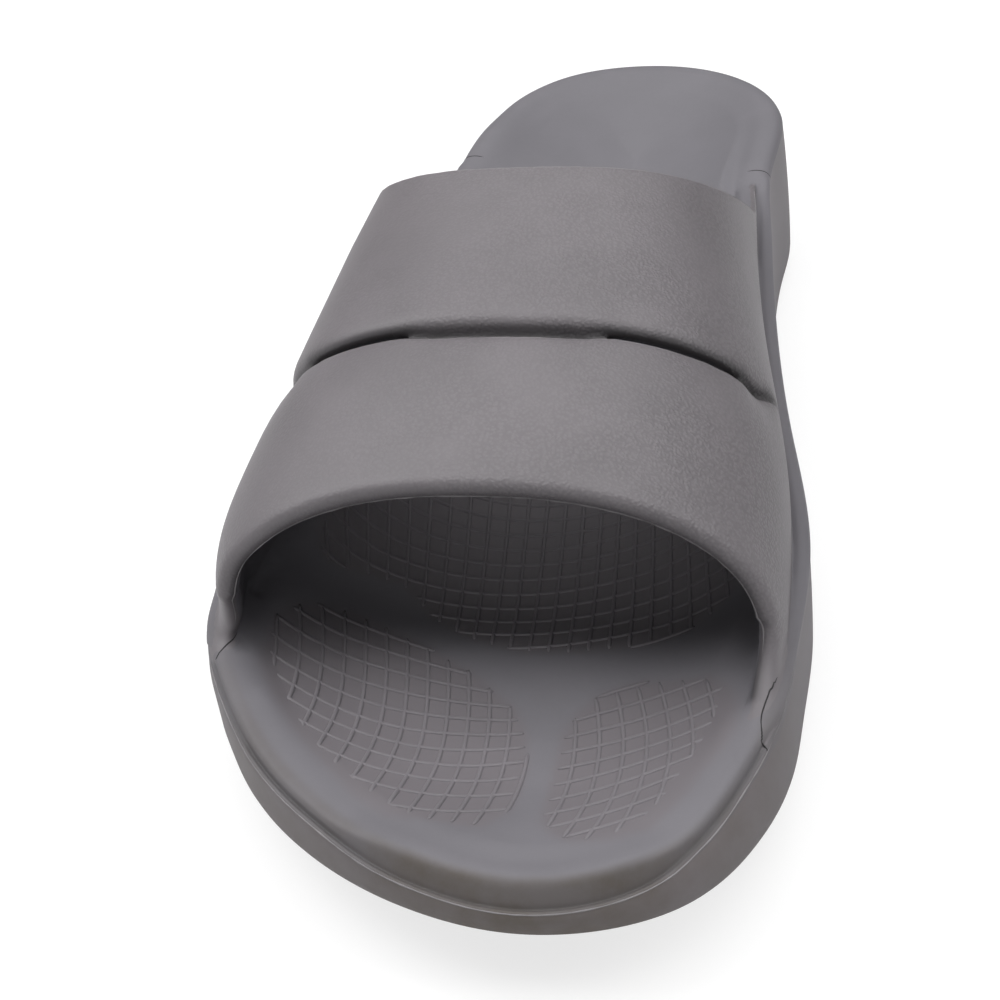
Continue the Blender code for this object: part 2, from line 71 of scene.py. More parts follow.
# Edge of the sole
BOTTOM_EDGE_RADIUS = 6 * MM
HEEL_TAPER = 4 * MM
TOE_RIM_WIDTH = 8 * MM
TOE_RIM_RISE = 4 * MM
BEAD_WIDTH = 4.4 * MM
BEAD_RISE = 2.2 * MM
HEEL_RIM_WIDTH = 9 * MM
HEEL_RIM_RISE = 2.3 * MM
RIM_BLEND = 5 * MM
BOWL_BLEND = 28 * MM

# Strap
STRAP_FRONT_HEIGHT = 63 * MM
STRAP_REAR_HEIGHT = 83.6 * MM
STRAP_WALL = 4.4 * MM
STRAP_ROOT = 11 * MM
STRAP_TUCK = 0.5 * MM
STRAP_INSET = 3.5 * MM
EDGE_ROLL = 3.9 * MM
REAR_ROLL = 1.0 * MM
GROOVE_DEPTH = 3.2 * MM
GROOVE_REACH = 9 * MM
FRONT_LEAN = 2.8 * MM
REAR_LEAN = 1.4 * MM
FRONT_SQUARENESS = 2.3
REAR_SQUARENESS = 2.65

# Grooves of the tread
TREAD_DEPTH = 2 * MM
TREAD_WIDTH = 3.4 * MM
TREAD_SWING = 3 * MM
TREAD_PITCH = 19 * MM

# Ribs of the footbed and the thin flash left by the mould
RIB_WIDTH = 0.85 * MM
RIB_RISE = 0.27 * MM
FLASH_RADIUS = 0.13 * MM

# Fineness of the lofts: points round the sole, columns over the strap, points of the lines laid
# on the sole and of the strap's feet, rings of the sole by part, and steps between top rings
OUTLINE_POINTS = 420
STRAP_COLUMNS = 210
LINE_POINTS = 1400
FOOT_POINTS = 960
UNDER_RINGS = 12
CORNER_RINGS = 10
WALL_RINGS = 10
BED_RINGS = 14
TOP_STEPS = 3

# Outline from above: place, share of LENGTH behind the toe tip, then how far to the inner
# side of the foot as a share of the width named last
B, H = BALL_WIDTH, HEEL_WIDTH
OUTLINE = (
    ("toe tip", 0.0, 0.1, B), ("outer toe", 0.01, -0.03, B),
    ("outer toe bend", 0.036, -0.17, B), ("outer toe corner", 0.11, -0.376, B),
    ("outer front bend", 0.15, -0.443, B), ("outer front seam", 0.184, -0.49, B),
    ("outer ball", 0.28, -0.521, B), ("outer ball back", 0.41, -0.49, B),
    ("outer waist", 0.57, -0.55, H), ("outer heel front", 0.72, -0.503, H),
    ("outer heel", 0.84, -0.48, H), ("outer heel bend", 0.935, -0.375, H),
    ("outer heel back", 0.986, -0.205, H), ("heel back", 1.0, -0.01, H),
    ("inner heel back", 0.986, 0.212, H), ("inner heel bend", 0.94, 0.39, H),
    ("inner heel", 0.87, 0.48, H), ("inner heel front", 0.79, 0.473, H),
    ("inner waist", 0.65, 0.474, H), ("inner waist front", 0.55, 0.501, H),
    ("inner ball back", 0.43, 0.443, B), ("inner ball", 0.29, 0.495, B),
    ("inner ball front", 0.215, 0.489, B), ("inner front seam", 0.14, 0.475, B),
    ("inner toe corner", 0.085, 0.434, B), ("inner toe bend", 0.036, 0.355, B),
    ("inner toe", 0.009, 0.243, B),
)

# Heights along the sole: share of LENGTH, share of the way from the toe edge's height
# to the heel edge's
EDGE_RISE = ((0.0, 0.0), (0.02, 0.03), (0.05, 0.12), (0.1, 0.145), (0.16, 0.165), (0.27, 0.24),
             (0.42, 0.36), (0.58, 0.58), (0.75, 0.86), (0.88, 1.0), (1.0, 1.0))
# Share of LENGTH, share of the way from BALL_STACK to HEEL_STACK
SEAT_RISE = ((0.0, 0.42), (0.05, 0.28), (0.11, 0.1), (0.18, 0.0), (0.32, 0.0), (0.46, 0.3),
             (0.62, 0.74), (0.78, 0.96), (0.9, 1.0), (1.0, 1.0))
# Middle of the arch's rise, its spread, and the toe bar's place, share of LENGTH
ARCH_PLACE = 0.6
ARCH_SPREAD = 0.16
TOE_BAR_PLACE = 0.205
# Share of LENGTH, rise at the footbed's edge as a share of CUP_DEPTH, and the reach
# of that rise as a share of BALL_WIDTH
CUP = ((0.0, 0.12, 0.16), (0.06, 0.3, 0.17), (0.12, 0.42, 0.17), (0.2, 0.35, 0.14),
       (0.28, 0.26, 0.13), (0.42, 0.26, 0.14), (0.6, 0.4, 0.24), (0.75, 0.8, 0.32),
       (0.9, 1.0, 0.34), (1.0, 1.0, 0.34))
# Curve of that rise, how the footbed's rings crowd at its edge, and how soon across the heel's
# width the arch is full
CUP_CURVE = 1.8
BED_CROWDING = 1.15
ARCH_SIDE = 2.2
# Share of LENGTH, then shares of TOE_SPRING, WAIST_LIFT and HEEL_LIFT under the sole
UNDERSIDE = (
    (0.0, 1.0, 0.0, 0.0), (0.06, 0.76, 0.0, 0.0), (0.12, 0.52, 0.0, 0.0), (0.19, 0.22, 0.0, 0.0),
    (0.25, 0.04, 0.0, 0.0), (0.28, 0.0, 0.0, 0.0), (0.42, 0.0, 0.0, 0.0), (0.48, 0.0, 0.5, 0.0),
    (0.56, 0.0, 1.0, 0.0), (0.64, 0.0, 0.5, 0.0), (0.7, 0.0, 0.0, 0.0), (0.88, 0.0, 0.0, 0.0),
    (0.94, 0.0, 0.0, 0.3), (1.0, 0.0, 0.0, 1.0),
)
# Share of LENGTH, share of HEEL_TAPER by which the wall leans in up to the parting line, on
# the outer and on the inner side
WALL_LEAN = (
    (0.0, 0.1, 0.1), (0.04, 0.1, 0.4), (0.09, 0.05, 0.6), (0.15, 0.0, 0.45),
    (0.25, 0.0, 0.2), (0.35, 0.0, 0.1), (0.55, 0.1, 0.0), (0.66, 0.3, 0.05),
    (0.78, 0.8, 0.5), (0.88, 0.9, 0.35), (0.94, 0.5, 0.15), (1.0, 0.1, 0.0),
)
# Edge from the parting line inwards: place, how far along the strap its section comes in,
# then inset and rise at the toe tip, at the toe's sides, beside the strap and at the heel, as
# shares of the rim's or bead's width and rise there
EDGE_SECTION = (
    ("parting line", RIM_BLEND, 0.0, 0.0, 0.0, 0.0, 0.0, 0.0, 0.0, 0.0),
    ("ledge", RIM_BLEND, 0.08, 0.03, 0.09, 0.06, -0.02, 0.12, 0.0, 0.12),
    ("valley", RIM_BLEND, 0.13, -0.07, 0.145, -0.05, -0.03, 0.2, 0.01, 0.2),
    ("rim's foot", RIM_BLEND, 0.18, 0.05, 0.18, 0.03, -0.04, 0.3, 0.02, 0.3),
    ("face", RIM_BLEND, 0.29, 0.46, 0.21, 0.22, -0.04, 0.5, 0.06, 0.55),
    ("crest outside", RIM_BLEND, 0.4, 0.82, 0.27, 0.38, 0.14, 0.88, 0.17, 0.85),
    ("crest", RIM_BLEND, 0.53, 0.97, 0.4, 0.46, 0.46, 1.0, 0.36, 1.0),
    ("crest inside", BOWL_BLEND, 0.72, 0.96, 0.62, 0.44, 0.8, 0.66, 0.64, 0.86),
    ("bowl edge", BOWL_BLEND, 1.0, 0.84, 1.0, 0.32, 1.0, 0.0, 1.0, 0.3),
)
# The valley's row in that table, and how far lines end from the front seams, share of LENGTH
VALLEY = 2
SEAM_GAP = 0.004
# Share of LENGTH up to which the tip's section reaches, and over which it fades out
TIP_REACH = 0.012
TIP_BLEND = 0.034
# Share of the outline that fans out from each end of the middle line
END_FAN = 0.11

# Seams where the strap's foot begins and ends, share of LENGTH: outer side, inner side
FRONT_SEAM = (0.181, 0.129)
REAR_SEAM = (0.806, 0.77)
# Share of LENGTH over which the strap's foot spreads forwards until it is flush with the edge
STRAP_FLARE = 0.18
# The strap's two edges on its centre line, share of LENGTH
STRAP_FRONT = 0.19
STRAP_REAR = 0.464
# Height share up the arch, then how far each edge has come from its place on the centre line
# to the seam, at the front and at the rear
STRAP_SWEEP = ((0.0, 1.0, 1.0), (0.06, 0.88, 0.88), (0.14, 0.42, 0.74), (0.26, 0.13, 0.54),
               (0.41, 0.02, 0.4), (0.58, 0.0, 0.26), (0.8, 0.0, 0.11), (1.0, 0.0, 0.0))
# Share of the way from the front edge to the rear one on the centre line, share of the rise
STRAP_CROWN = ((-1.0, -1.2), (0.0, 0.0), (0.4, 0.48), (1.0, 1.0), (1.8, 1.6), (2.4, 1.9))
# Groove between the two bands: share of the way from the rear edge to the front one, and the
# ends of the groove and of the slots in it as shares of the way over the arch
GROOVE_PLACE = 0.565
GROOVE_ENDS = (0.085, 0.893)
GROOVE_FADE = 0.05
SLOTS = ((0.235, 0.405), (0.594, 0.795))
# Share of EDGE_ROLL in from an edge of the strap, share of it below the surface
ROLL = ((0.0, 1.0), (0.0, 0.72), (0.015, 0.48), (0.06, 0.28), (0.14, 0.14), (0.27, 0.05),
        (0.5, 0.01), (0.8, 0.0))
# Share of GROOVE_REACH in front of the groove's floor, share of GROOVE_DEPTH
GROOVE = ((-0.55, 0.0), (-0.43, 0.03), (-0.33, 0.09), (-0.26, 0.18), (-0.21, 0.3), (-0.18, 0.45),
          (-0.16, 0.65), (-0.145, 0.9), (-0.13, 1.25), (-0.05, 1.25), (0.0, 1.15), (0.02, 0.88),
          (0.04, 0.7), (0.09, 0.61), (0.22, 0.48), (0.45, 0.3), (0.8, 0.14), (1.2, 0.04),
          (1.6, 0.0))
# Share of the groove's depth by which its slots lie higher
SLOT_LIFT = 0.38
# Share of the way over the arch on which that lift fades out
SLOT_FADE = 0.03
# How far the strap's outer face leans in over the rim at its front seams: height above the
# parting line as a share of TOE_RIM_RISE, share of TOE_RIM_WIDTH; and the share of LENGTH
# behind the seam over which it straightens
FOOT_FACE = ((0.0, 0.0), (0.45, 0.16), (0.9, 0.33), (1.4, 0.41), (2.1, 0.38), (3.5, 0.2),
             (5.5, 0.0))
FOOT_BLEND = 0.085
# The slots' two sides, share of GROOVE_REACH behind and in front of the groove's place
SLOT_SIDES = (0.15, -0.07)
REAR_BAND_ROWS = 22
FRONT_BAND_ROWS = 18
LINING_ROWS = 44

# Creases where the strap's feet end on the toe's rim, in millimetres of the plan, and their
# height above the parting line there
FRONT_CREASES = (
    ((51.2, -96), (51.3, -99), (50.9, -102.5), (50.5, -105.5), (51.0, -108.3), (52.1, -110.2),
     (53.2, -111.2), (54.6, -112.0)),
    ((-48.4, -89), (-48.8, -91), (-49.6, -92.6), (-50.9, -94.4), (-52.0, -95.6), (-53.4, -96.4)),
)
CREASE_RISE = 2.5 * MM

# Tread grooves, share of LENGTH
TREAD_PLACES = (0.285, 0.318, 0.382, 0.415, 0.715, 0.748, 0.832, 0.865)

# The three ribbed pads, in millimetres of the sandal's own plan. Across: rib number, how far
# back it lies at the pad's middle, how it tilts there and how it bows. Along: the same, with
# how far to the inner side. The ribs between those named are spaced evenly
PADS = (
    {
        "name": "outer_toe_pad",
        "middle": (-15, -100),
        "across": ((-1, -84.2, -0.396, 0.0032), (4, -104.1, -0.18, 0.0072),
                   (9, -127.6, -0.196, 0.0121)),
        "across_ribs": (-2, 10),
        "along": ((0, -40.2, -0.112, -0.0042), (6, -14.5, -0.117, -0.0039),
                  (12, 8.9, -0.167, -0.0057)),
        "along_ribs": (0, 12),
        "edge": ((-44.5, -79), (-44.6, -90), (-42, -95.5), (-39.3, -101), (-35, -107.2),
                 (-30.3, -113.5), (-22.5, -121), (-16.5, -127), (-10, -131), (6.5, -131.5),
                 (10.2, -125), (10.6, -113), (9.3, -105), (6, -98.5), (1, -94.5), (-4.5, -90),
                 (-13, -84.5), (-22, -79), (-30, -74.5), (-37, -73), (-42.5, -75)),
    },
    {
        "name": "inner_toe_pad",
        "middle": (30, -110),
        "across": ((0, -90.8, 0.41, -0.0059), (5, -111.9, 0.363, -0.0003),
                   (10, -132.2, 0.476, -0.0094)),
        "across_ribs": (0, 10),
        "along": ((1, 18.2, -0.057, -0.0059), (4.5, 33.1, -0.068, -0.0078),
                  (8, 47.0, -0.082, -0.0041)),
        "along_ribs": (1, 8),
        "edge": ((15.2, -104.5), (15.2, -122), (15.6, -128), (17.5, -131.5), (21, -134),
                 (28, -133.8), (34, -131), (37.5, -126), (39.8, -122), (42, -117),
                 (44.5, -112.5), (46.3, -107), (46.3, -101), (44.5, -95), (40.8, -91.5),
                 (28.5, -91), (24, -93), (20, -95.5), (17, -99.5)),
    },
    {
        "name": "ball_pad",
        "middle": (0, -50),
        "across": ((0, -40.4, 0.028, 0.0129), (4, -59.6, 0.069, 0.0109),
                   (8, -78.9, 0.06, 0.0095)),
        "across_ribs": (-4, 10),
        "along": ((-10, -42.6, -0.3, 0.0), (0, -0.9, -0.1, 0.0), (10, 36.0, -0.13, 0.0)),
        "along_ribs": (-10, 12),
        "edge": ((-46, -40), (-44, -52), (-41, -57), (-30, -60.5), (-24, -62.5), (-19, -68),
                 (-15, -74), (-6, -81), (5, -85), (16, -84), (26, -82), (36, -76), (40, -70),
                 (43.5, -62), (41, -50), (38, -34), (28, -24), (0, -21), (-28, -25),
                 (-42, -33)),
    },
)


def column(table, number):
    return np.array([row[number] for row in table])


def cubic(start, end, leave, arrive, t):
    """From start to end with those slopes at the ends, for t from 0 to 1."""
    return (start * (1 + 2 * t) * (1 - t) ** 2 + end * t * t * (3 - 2 * t)
            + leave * t * (1 - t) ** 2 + arrive * t * t * (t - 1))


def follow(table, number, at):
    """A smooth curve through a table's column that never overshoots its values."""
    places, values = column(table, 0), column(table, number)
    step = np.diff(places)
    slope = np.diff(values) / step
    bend = np.concatenate([slope[:1], np.zeros(len(places) - 2), slope[-1:]])
    climbs = slope[:-1] * slope[1:] > 0
    both = np.where(climbs, slope[:-1] + slope[1:], 1.0)
    bend[1:-1] = np.where(climbs, 2 * slope[:-1] * slope[1:] / both, 0.0)
    at = np.clip(at, places[0], places[-1])
    row = np.clip(np.searchsorted(places, at) - 1, 0, len(places) - 2)
    t = (at - places[row]) / step[row]
    leave, arrive = bend[row] * step[row], bend[row + 1] * step[row]
    return cubic(values[row], values[row + 1], leave, arrive, t)


def ease(t):
    """From 0 to 1 with soft ends."""
    t = np.clip(t, 0.0, 1.0)
    return t * t * (3 - 2 * t)


def smooth_outline():
    """A closed cubic spline through the outline's rows, centred on the origin."""
    knots = np.stack([column(OUTLINE, 2) * column(OUTLINE, 3), column(OUTLINE, 1) * LENGTH], 1)
    total = len(knots)
    chord = np.linalg.norm(np.roll(knots, -1, 0) - knots, axis=1)
    before = np.roll(chord, 1)
    matrix = np.diag(2 * (before + chord))
    for row in range(total):
        matrix[row, (row + 1) % total] += chord[row]
        matrix[row, row - 1] += before[row]
    rise = (np.roll(knots, -1, 0) - knots) / chord[:, None]
    curve = np.linalg.solve(matrix, 6 * (rise - np.roll(rise, 1, 0)))
    fine = []
    for row in range(total):
        after = (row + 1) % total
        t = np.linspace(0, 1, 60, endpoint=False)[:, None]
        span = chord[row] ** 2 / 6
        fine.append(
            knots[row] * (1 - t) + knots[after] * t
            + span * ((1 - t) ** 3 - (1 - t)) * curve[row]
            + span * (t ** 3 - t) * curve[after]
        )
    fine = np.concatenate(fine)
    fine -= (fine.max(0) + fine.min(0)) / 2
    return np.roll(fine, -fine[:, 1].argmin(), 0)


def resampled(line, step=0.5 * MM, count=None):
    """The same line in even steps, or in so many points without its last one."""
    run = np.concatenate([[0], np.cumsum(np.linalg.norm(np.diff(line, axis=0), axis=1))])
    want = np.linspace(0, run[-1], count or max(4, int(run[-1] / step)), endpoint=not count)
    return np.stack([np.interp(want, run, values) for values in line.T], 1)


def outline(count):
    """Points round the sole: from the toe tip by the outer side to the heel and back."""
    fine = smooth_outline()
    heel = fine[:, 1].argmax()
    halves = (fine[: heel + 1], np.concatenate([fine[heel:], fine[:1]]))
    return np.concatenate([resampled(half, count=count // 2) for half in halves])


def inward(points):
    """Unit directions from a closed outline towards its inside."""
    tangent = np.roll(points, -1, 0) - np.roll(points, 1, 0)
    tangent /= np.linalg.norm(tangent, axis=1)[:, None]
    normal = np.stack([-tangent[:, 1], tangent[:, 0]], 1)
    return normal * np.sign((normal * -points).sum())


def along(y):
    """Share of LENGTH behind the toe tip."""
    return y / LENGTH + 0.5


def place(share):
    """The reverse of along."""
    return (share - 0.5) * LENGTH


def edge_height(y):
    rise = follow(EDGE_RISE, 1, along(y))
    return TOE_EDGE_HEIGHT + (HEEL_EDGE_HEIGHT - TOE_EDGE_HEIGHT) * rise


def under_height(y):
    lifts = (TOE_SPRING, WAIST_LIFT, HEEL_LIFT)
    return sum(lift * follow(UNDERSIDE, 1 + k, along(y)) for k, lift in enumerate(lifts))


def by_side(pair, x):
    """A value that differs between the outer and the inner side of the foot."""
    return pair[0] + (pair[1] - pair[0]) * ease(x / BALL_WIDTH * 4 + 0.5)


def wall_lean(x, y):
    sides = [follow(WALL_LEAN, number, along(y)) for number in (1, 2)]
    return HEEL_TAPER * by_side(sides, x)


def zones(points, blend):
    """How much of the tip's, the toe's, the strap's and the heel's section each point has."""
    share = along(points[:, 1])
    toe = 1 - ease((share - by_side(FRONT_SEAM, points[:, 0])) * LENGTH / blend)
    heel = 1 - ease((by_side(REAR_SEAM, points[:, 0]) - share) * LENGTH / blend)
    tip = 1 - ease((share - TIP_REACH) / TIP_BLEND)
    return toe * tip, toe * (1 - tip), 1 - toe - heel, heel


def footbed_height(x, y, inset):
    """Height of the footbed, inset from its own edge by that much."""
    share = along(y)
    seat = BALL_STACK + (HEEL_STACK - BALL_STACK) * follow(SEAT_RISE, 1, share)
    reach = BALL_WIDTH * follow(CUP, 2, share)
    hollow = np.clip(1 - inset / reach, 0.0, 1.0) ** CUP_CURVE
    cup = CUP_DEPTH * follow(CUP, 1, share) * hollow
    arch = ARCH_RISE * np.exp(-(((share - ARCH_PLACE) / ARCH_SPREAD) ** 2))
    arch = arch * ease(x / HEEL_WIDTH * ARCH_SIDE)
    bar_line = place(TOE_BAR_PLACE) + (x - TOE_BAR_SHIFT) ** 2 / (2 * TOE_BAR_RADIUS)
    bar = TOE_BAR_RISE * np.exp(-(((y - bar_line) / TOE_BAR_SPREAD) ** 2))
    return seat + cup + arch + bar


def spine_of(ring):
    """For each point of a ring, the point on the middle line that faces it."""
    count = len(ring)
    middle = (ring + np.roll(ring[::-1], 1, 0)) / 2
    index = np.minimum(np.arange(count), count - np.arange(count))
    fan = int(count * END_FAN)
    return middle[np.clip(index, fan, count // 2 - fan)]


def distance(points, line):
    """How far each point lies from the nearest point of a line."""
    return np.concatenate([
        np.linalg.norm(part[:, None] - line[None], axis=2).min(1)
        for part in np.array_split(points, max(1, len(points) // 400))
    ])


def joined(xy, z):
    return np.column_stack([xy, z])


def placed(name, data):
    """A new object of the scene."""
    made = bpy.data.objects.new(name, data)
    bpy.context.scene.collection.objects.link(made)
    return made


def through(rings, parts):
    """Rings with more rings between them, on smooth curves through each point's own places."""
    ahead = np.concatenate([rings[1:], 2 * rings[-1:] - rings[-2:-1]])
    behind = np.concatenate([2 * rings[:1] - rings[1:2], rings[:-1]])
    before = np.linalg.norm(rings - behind, axis=2, keepdims=True) + 1e-9
    after = np.linalg.norm(ahead - rings, axis=2, keepdims=True) + 1e-9
    slope = ((rings - behind) / before * after + (ahead - rings) / after * before) / (before + after)
    made = []
    for k in range(len(rings) - 1):
        leave, arrive = slope[k] * after[k], slope[k + 1] * after[k]
        for t in np.linspace(0, 1, parts, endpoint=False):
            made.append(cubic(rings[k], rings[k + 1], leave, arrive, t))
    return np.array(made + [rings[-1]])


def edge_rings(points, normal):
    """Rings over the rim or bead, from the parting line to the bowl."""
    lean, edge = wall_lean(*points.T), edge_height(points[:, 1])
    widths = (TOE_RIM_WIDTH, TOE_RIM_WIDTH, BEAD_WIDTH, HEEL_RIM_WIDTH)
    rises = (TOE_RIM_RISE, TOE_RIM_RISE, BEAD_RISE, HEEL_RIM_RISE)
    rings = []
    for row in EDGE_SECTION:
        weights = zones(points, row[1])
        inset = sum(w * row[2 + 2 * k] * widths[k] for k, w in enumerate(weights))
        rise = sum(w * row[3 + 2 * k] * rises[k] for k, w in enumerate(weights))
        rings.append(joined(points + normal * (lean + inset)[:, None], edge + rise))
    return rings


def bed_outline(points, normal):
    return points + normal * (wall_lean(*points.T) + FOOTBED_INSET)[:, None]


def sole_rings(count):
    """Rings of the sole, from the middle of the tread out, up the wall and in to the footbed."""
    points = outline(count)
    normal = inward(points)
    x, y = points.T
    lean, edge, under = wall_lean(x, y), edge_height(y), under_height(y)
    rings = []
    corner = points + normal * BOTTOM_EDGE_RADIUS
    spine = spine_of(corner)
    for t in np.linspace(1, 0, UNDER_RINGS, endpoint=False):
        xy = corner + (spine - corner) * t
        rings.append(joined(xy, under_height(xy[:, 1])))
    for angle in np.linspace(0, np.pi / 2, CORNER_RINGS):
        xy = points + normal * BOTTOM_EDGE_RADIUS * (1 - np.sin(angle))
        rings.append(joined(xy, under + (1 - np.cos(angle)) * BOTTOM_EDGE_RADIUS))
    wall_foot = under + BOTTOM_EDGE_RADIUS
    for t in np.linspace(0, 1, WALL_RINGS + 2)[1:-1]:
        xy = points + normal * (lean * t * t)[:, None]
        rings.append(joined(xy, wall_foot + (edge - wall_foot) * t))
    tops = edge_rings(points, normal)
    bed = bed_outline(points, normal)
    spine = spine_of(bed)
    for t in np.linspace(0, 1, BED_RINGS + 1)[:-1] ** BED_CROWDING:
        xy = bed + (spine - bed) * t
        tops.append(joined(xy, footbed_height(xy[:, 0], xy[:, 1], distance(xy, bed))))
    tops.append(joined(spine, footbed_height(spine[:, 0], spine[:, 1], distance(spine, bed))))
    return np.concatenate([np.array(rings), through(np.array(tops), TOP_STEPS)])


def mesh_object(name, points, faces, materials, slots=None):
    """A named object from a grid's points and faces, with its doubled points made one."""
    mesh = bpy.data.meshes.new(name)
    mesh.from_pydata([tuple(p) for p in points], [], faces)
    for material in materials:
        mesh.materials.append(material)
    if slots is not None:
        mesh.polygons.foreach_set("material_index", slots)
    work = bmesh.new()
    work.from_mesh(mesh)
    bmesh.ops.remove_doubles(work, verts=work.verts, dist=1e-6)
    bmesh.ops.recalc_face_normals(work, faces=work.faces)
    work.to_mesh(mesh)
    work.free()
    mesh.shade_smooth()
    return placed(name, mesh)


def tube(total, count, first=0, caps=True):
    """Faces over rings of equally many points, which start at the point numbered first."""
    low = first + np.arange(total - 1)[:, None] * count + np.arange(count)
    after = first + np.arange(total - 1)[:, None] * count + (np.arange(count) + 1) % count
    faces = np.stack([low, after, after + count, low + count], -1).reshape(-1, 4).tolist()
    if caps:
        last = first + (total - 1) * count
        faces += [list(range(first, first + count))[::-1], list(range(last, last + count))]
    return faces


def loft(name, rings, materials, slots=None, caps=False):
    """Closed rings of equally many points, skinned in order, with a slot for each face."""
    total, count = rings.shape[:2]
    if slots is not None:
        slots = np.broadcast_to(slots, (total - 1, count)).ravel().tolist()
        slots += slots[:1] * 2 * caps
    return mesh_object(name, rings.reshape(-1, 3), tube(total, count, 0, caps), materials, slots)


class Strap:
    """The strap's outer surface: across is 0 at the outer side's foot and 1 at the inner's."""

    def __init__(self):
        points = outline(FOOT_POINTS)
        share = along(points[:, 1])
        front = by_side(FRONT_SEAM, points[:, 0])
        flush = ease((share - front) / STRAP_FLARE)
        inset = STRAP_TUCK + (STRAP_INSET - STRAP_TUCK) * flush
        inset = inset + wall_lean(points[:, 0], points[:, 1])
        foot = points + inward(points) * inset[:, None]
        half = len(foot) // 2
        self.outer = foot[: half + 1]
        self.inner = np.concatenate([foot[half:], foot[:1]])[::-1]

    def feet(self, y):
        return tuple(np.interp(y, side[:, 1], side[:, 0]) for side in (self.outer, self.inner))

    def top_height(self, y):
        share = (along(y) - STRAP_FRONT) / (STRAP_REAR - STRAP_FRONT)
        rise = follow(STRAP_CROWN, 1, share)
        return STRAP_FRONT_HEIGHT + (STRAP_REAR_HEIGHT - STRAP_FRONT_HEIGHT) * rise

    def arch(self, y, across):
        """Share of the half width, share of the height, lean to the inner side, root's depth."""
        angle = np.pi * np.clip(across, 0.0, 1.0)
        back = np.clip((along(y) - STRAP_FRONT) / (STRAP_REAR - STRAP_FRONT), 0.0, 1.0)
        power = 2 / (FRONT_SQUARENESS + (REAR_SQUARENESS - FRONT_SQUARENESS) * back)
        wide = np.sign(np.cos(angle)) * np.abs(np.cos(angle)) ** power
        high = np.abs(np.sin(angle)) ** power
        lean = (FRONT_LEAN + (REAR_LEAN - FRONT_LEAN) * back) * high
        root = np.maximum(-across, 0.0) + np.maximum(across - 1, 0.0)
        return wide, high, lean, root

    def edges(self, across):
        """Places of the rear and the front edge."""
        high = np.abs(np.sin(np.pi * np.clip(across, 0.0, 1.0))) ** (2 / REAR_SQUARENESS)
        inner = across > 0.5
        seams = [np.where(inner, pair[1], pair[0]) for pair in (REAR_SEAM, FRONT_SEAM)]
        rear = STRAP_REAR + (seams[0] - STRAP_REAR) * follow(STRAP_SWEEP, 2, high)
        front = STRAP_FRONT + (seams[1] - STRAP_FRONT) * follow(STRAP_SWEEP, 1, high)
        return place(rear), place(front)

    def groove(self, across, ahead=0.0):
        """Place of the groove's floor, or of a line that share of GROOVE_REACH ahead of it."""
        rear, front = self.edges(across)
        return rear + (front - rear) * GROOVE_PLACE - GROOVE_REACH * ahead

    def at(self, y, across):
        wide, high, lean, root = self.arch(y, across)
        outer, inner = self.feet(y)
        foot = edge_height(y)
        x = (outer + inner) / 2 - (inner - outer) / 2 * wide + lean
        z = foot + (self.top_height(y) - foot) * high - root
        return np.stack([x, y, z], -1)

    def normal(self, y, across):
        """Unit direction out of the surface."""
        small = 1e-4
        by_y = self.at(y + small, across) - self.at(y - small, across)
        by_across = self.at(y, across + small) - self.at(y, across - small)
        out = np.cross(by_across, by_y)
        return out / np.linalg.norm(out, axis=-1)[..., None]

    def below(self, y, across, depth):
        """A point at that depth under the surface, leaned in over the rim near a front seam."""
        spot = self.at(y, across)
        wide = self.arch(y, across)[0]
        seam = np.where(np.asarray(across) > 0.5, FRONT_SEAM[1], FRONT_SEAM[0])
        near = 1 - ease((along(y) - seam) / FOOT_BLEND)
        height = (spot[..., 2] - edge_height(y)) / TOE_RIM_RISE
        lean = np.interp(height, column(FOOT_FACE, 0), column(FOOT_FACE, 1)) * TOE_RIM_WIDTH
        spot[..., 0] += np.sign(wide) * np.abs(wide) ** 3 * near * lean
        return spot - self.normal(y, across) * np.asarray(depth)[..., None]


def groove_depth(across):
    depth = GROOVE_DEPTH * ease((across - GROOVE_ENDS[0]) / GROOVE_FADE)
    for first, last in SLOTS:
        slotted = ease((across - first + SLOT_FADE) / SLOT_FADE)
        slotted = slotted * ease((last + SLOT_FADE - across) / SLOT_FADE)
        depth = depth * (1 - SLOT_LIFT * slotted)
    return depth * ease((GROOVE_ENDS[1] - across) / GROOVE_FADE)


def band_rows(start, end, count):
    """Rows on the strap's surface between two places."""
    return [(start * (1 - t) + end * t, 0.0) for t in np.linspace(0, 1, count + 2)[1:-1]]


def strap_section(strap, across):
    """One closed section through the strap from its rear edge to its front edge and back."""
    rear, front = strap.edges(across)
    groove = strap.groove(across)
    depth = groove_depth(across)
    rows = [(rear - REAR_ROLL * a, REAR_ROLL * d) for a, d in ROLL]
    groove_rows = [(groove - GROOVE_REACH * a, depth * d) for a, d in GROOVE]
    rows += band_rows(rows[-1][0], groove_rows[0][0], REAR_BAND_ROWS)
    rows += groove_rows
    rows += band_rows(rows[-1][0], front + EDGE_ROLL, FRONT_BAND_ROWS)
    rows += [(front + EDGE_ROLL * a, EDGE_ROLL * d) for a, d in reversed(ROLL)]
    rows += [(y, STRAP_WALL) for y in np.linspace(front, rear, LINING_ROWS)]
    y, depths = np.array(rows, float).T
    return strap.below(y, np.full(len(y), across), depths)


def root_columns(count):
    """Places across the strap, with the root's depth in metres below 0 and above 1."""
    over = (1 - np.cos(np.linspace(0, np.pi, count + 1))) / 2
    over = 0.5 * over + 0.5 * np.linspace(0, 1, count + 1)
    roots = np.array([1.0, 0.5]) * STRAP_ROOT
    return np.concatenate([-roots, over, 1 + roots[::-1]])


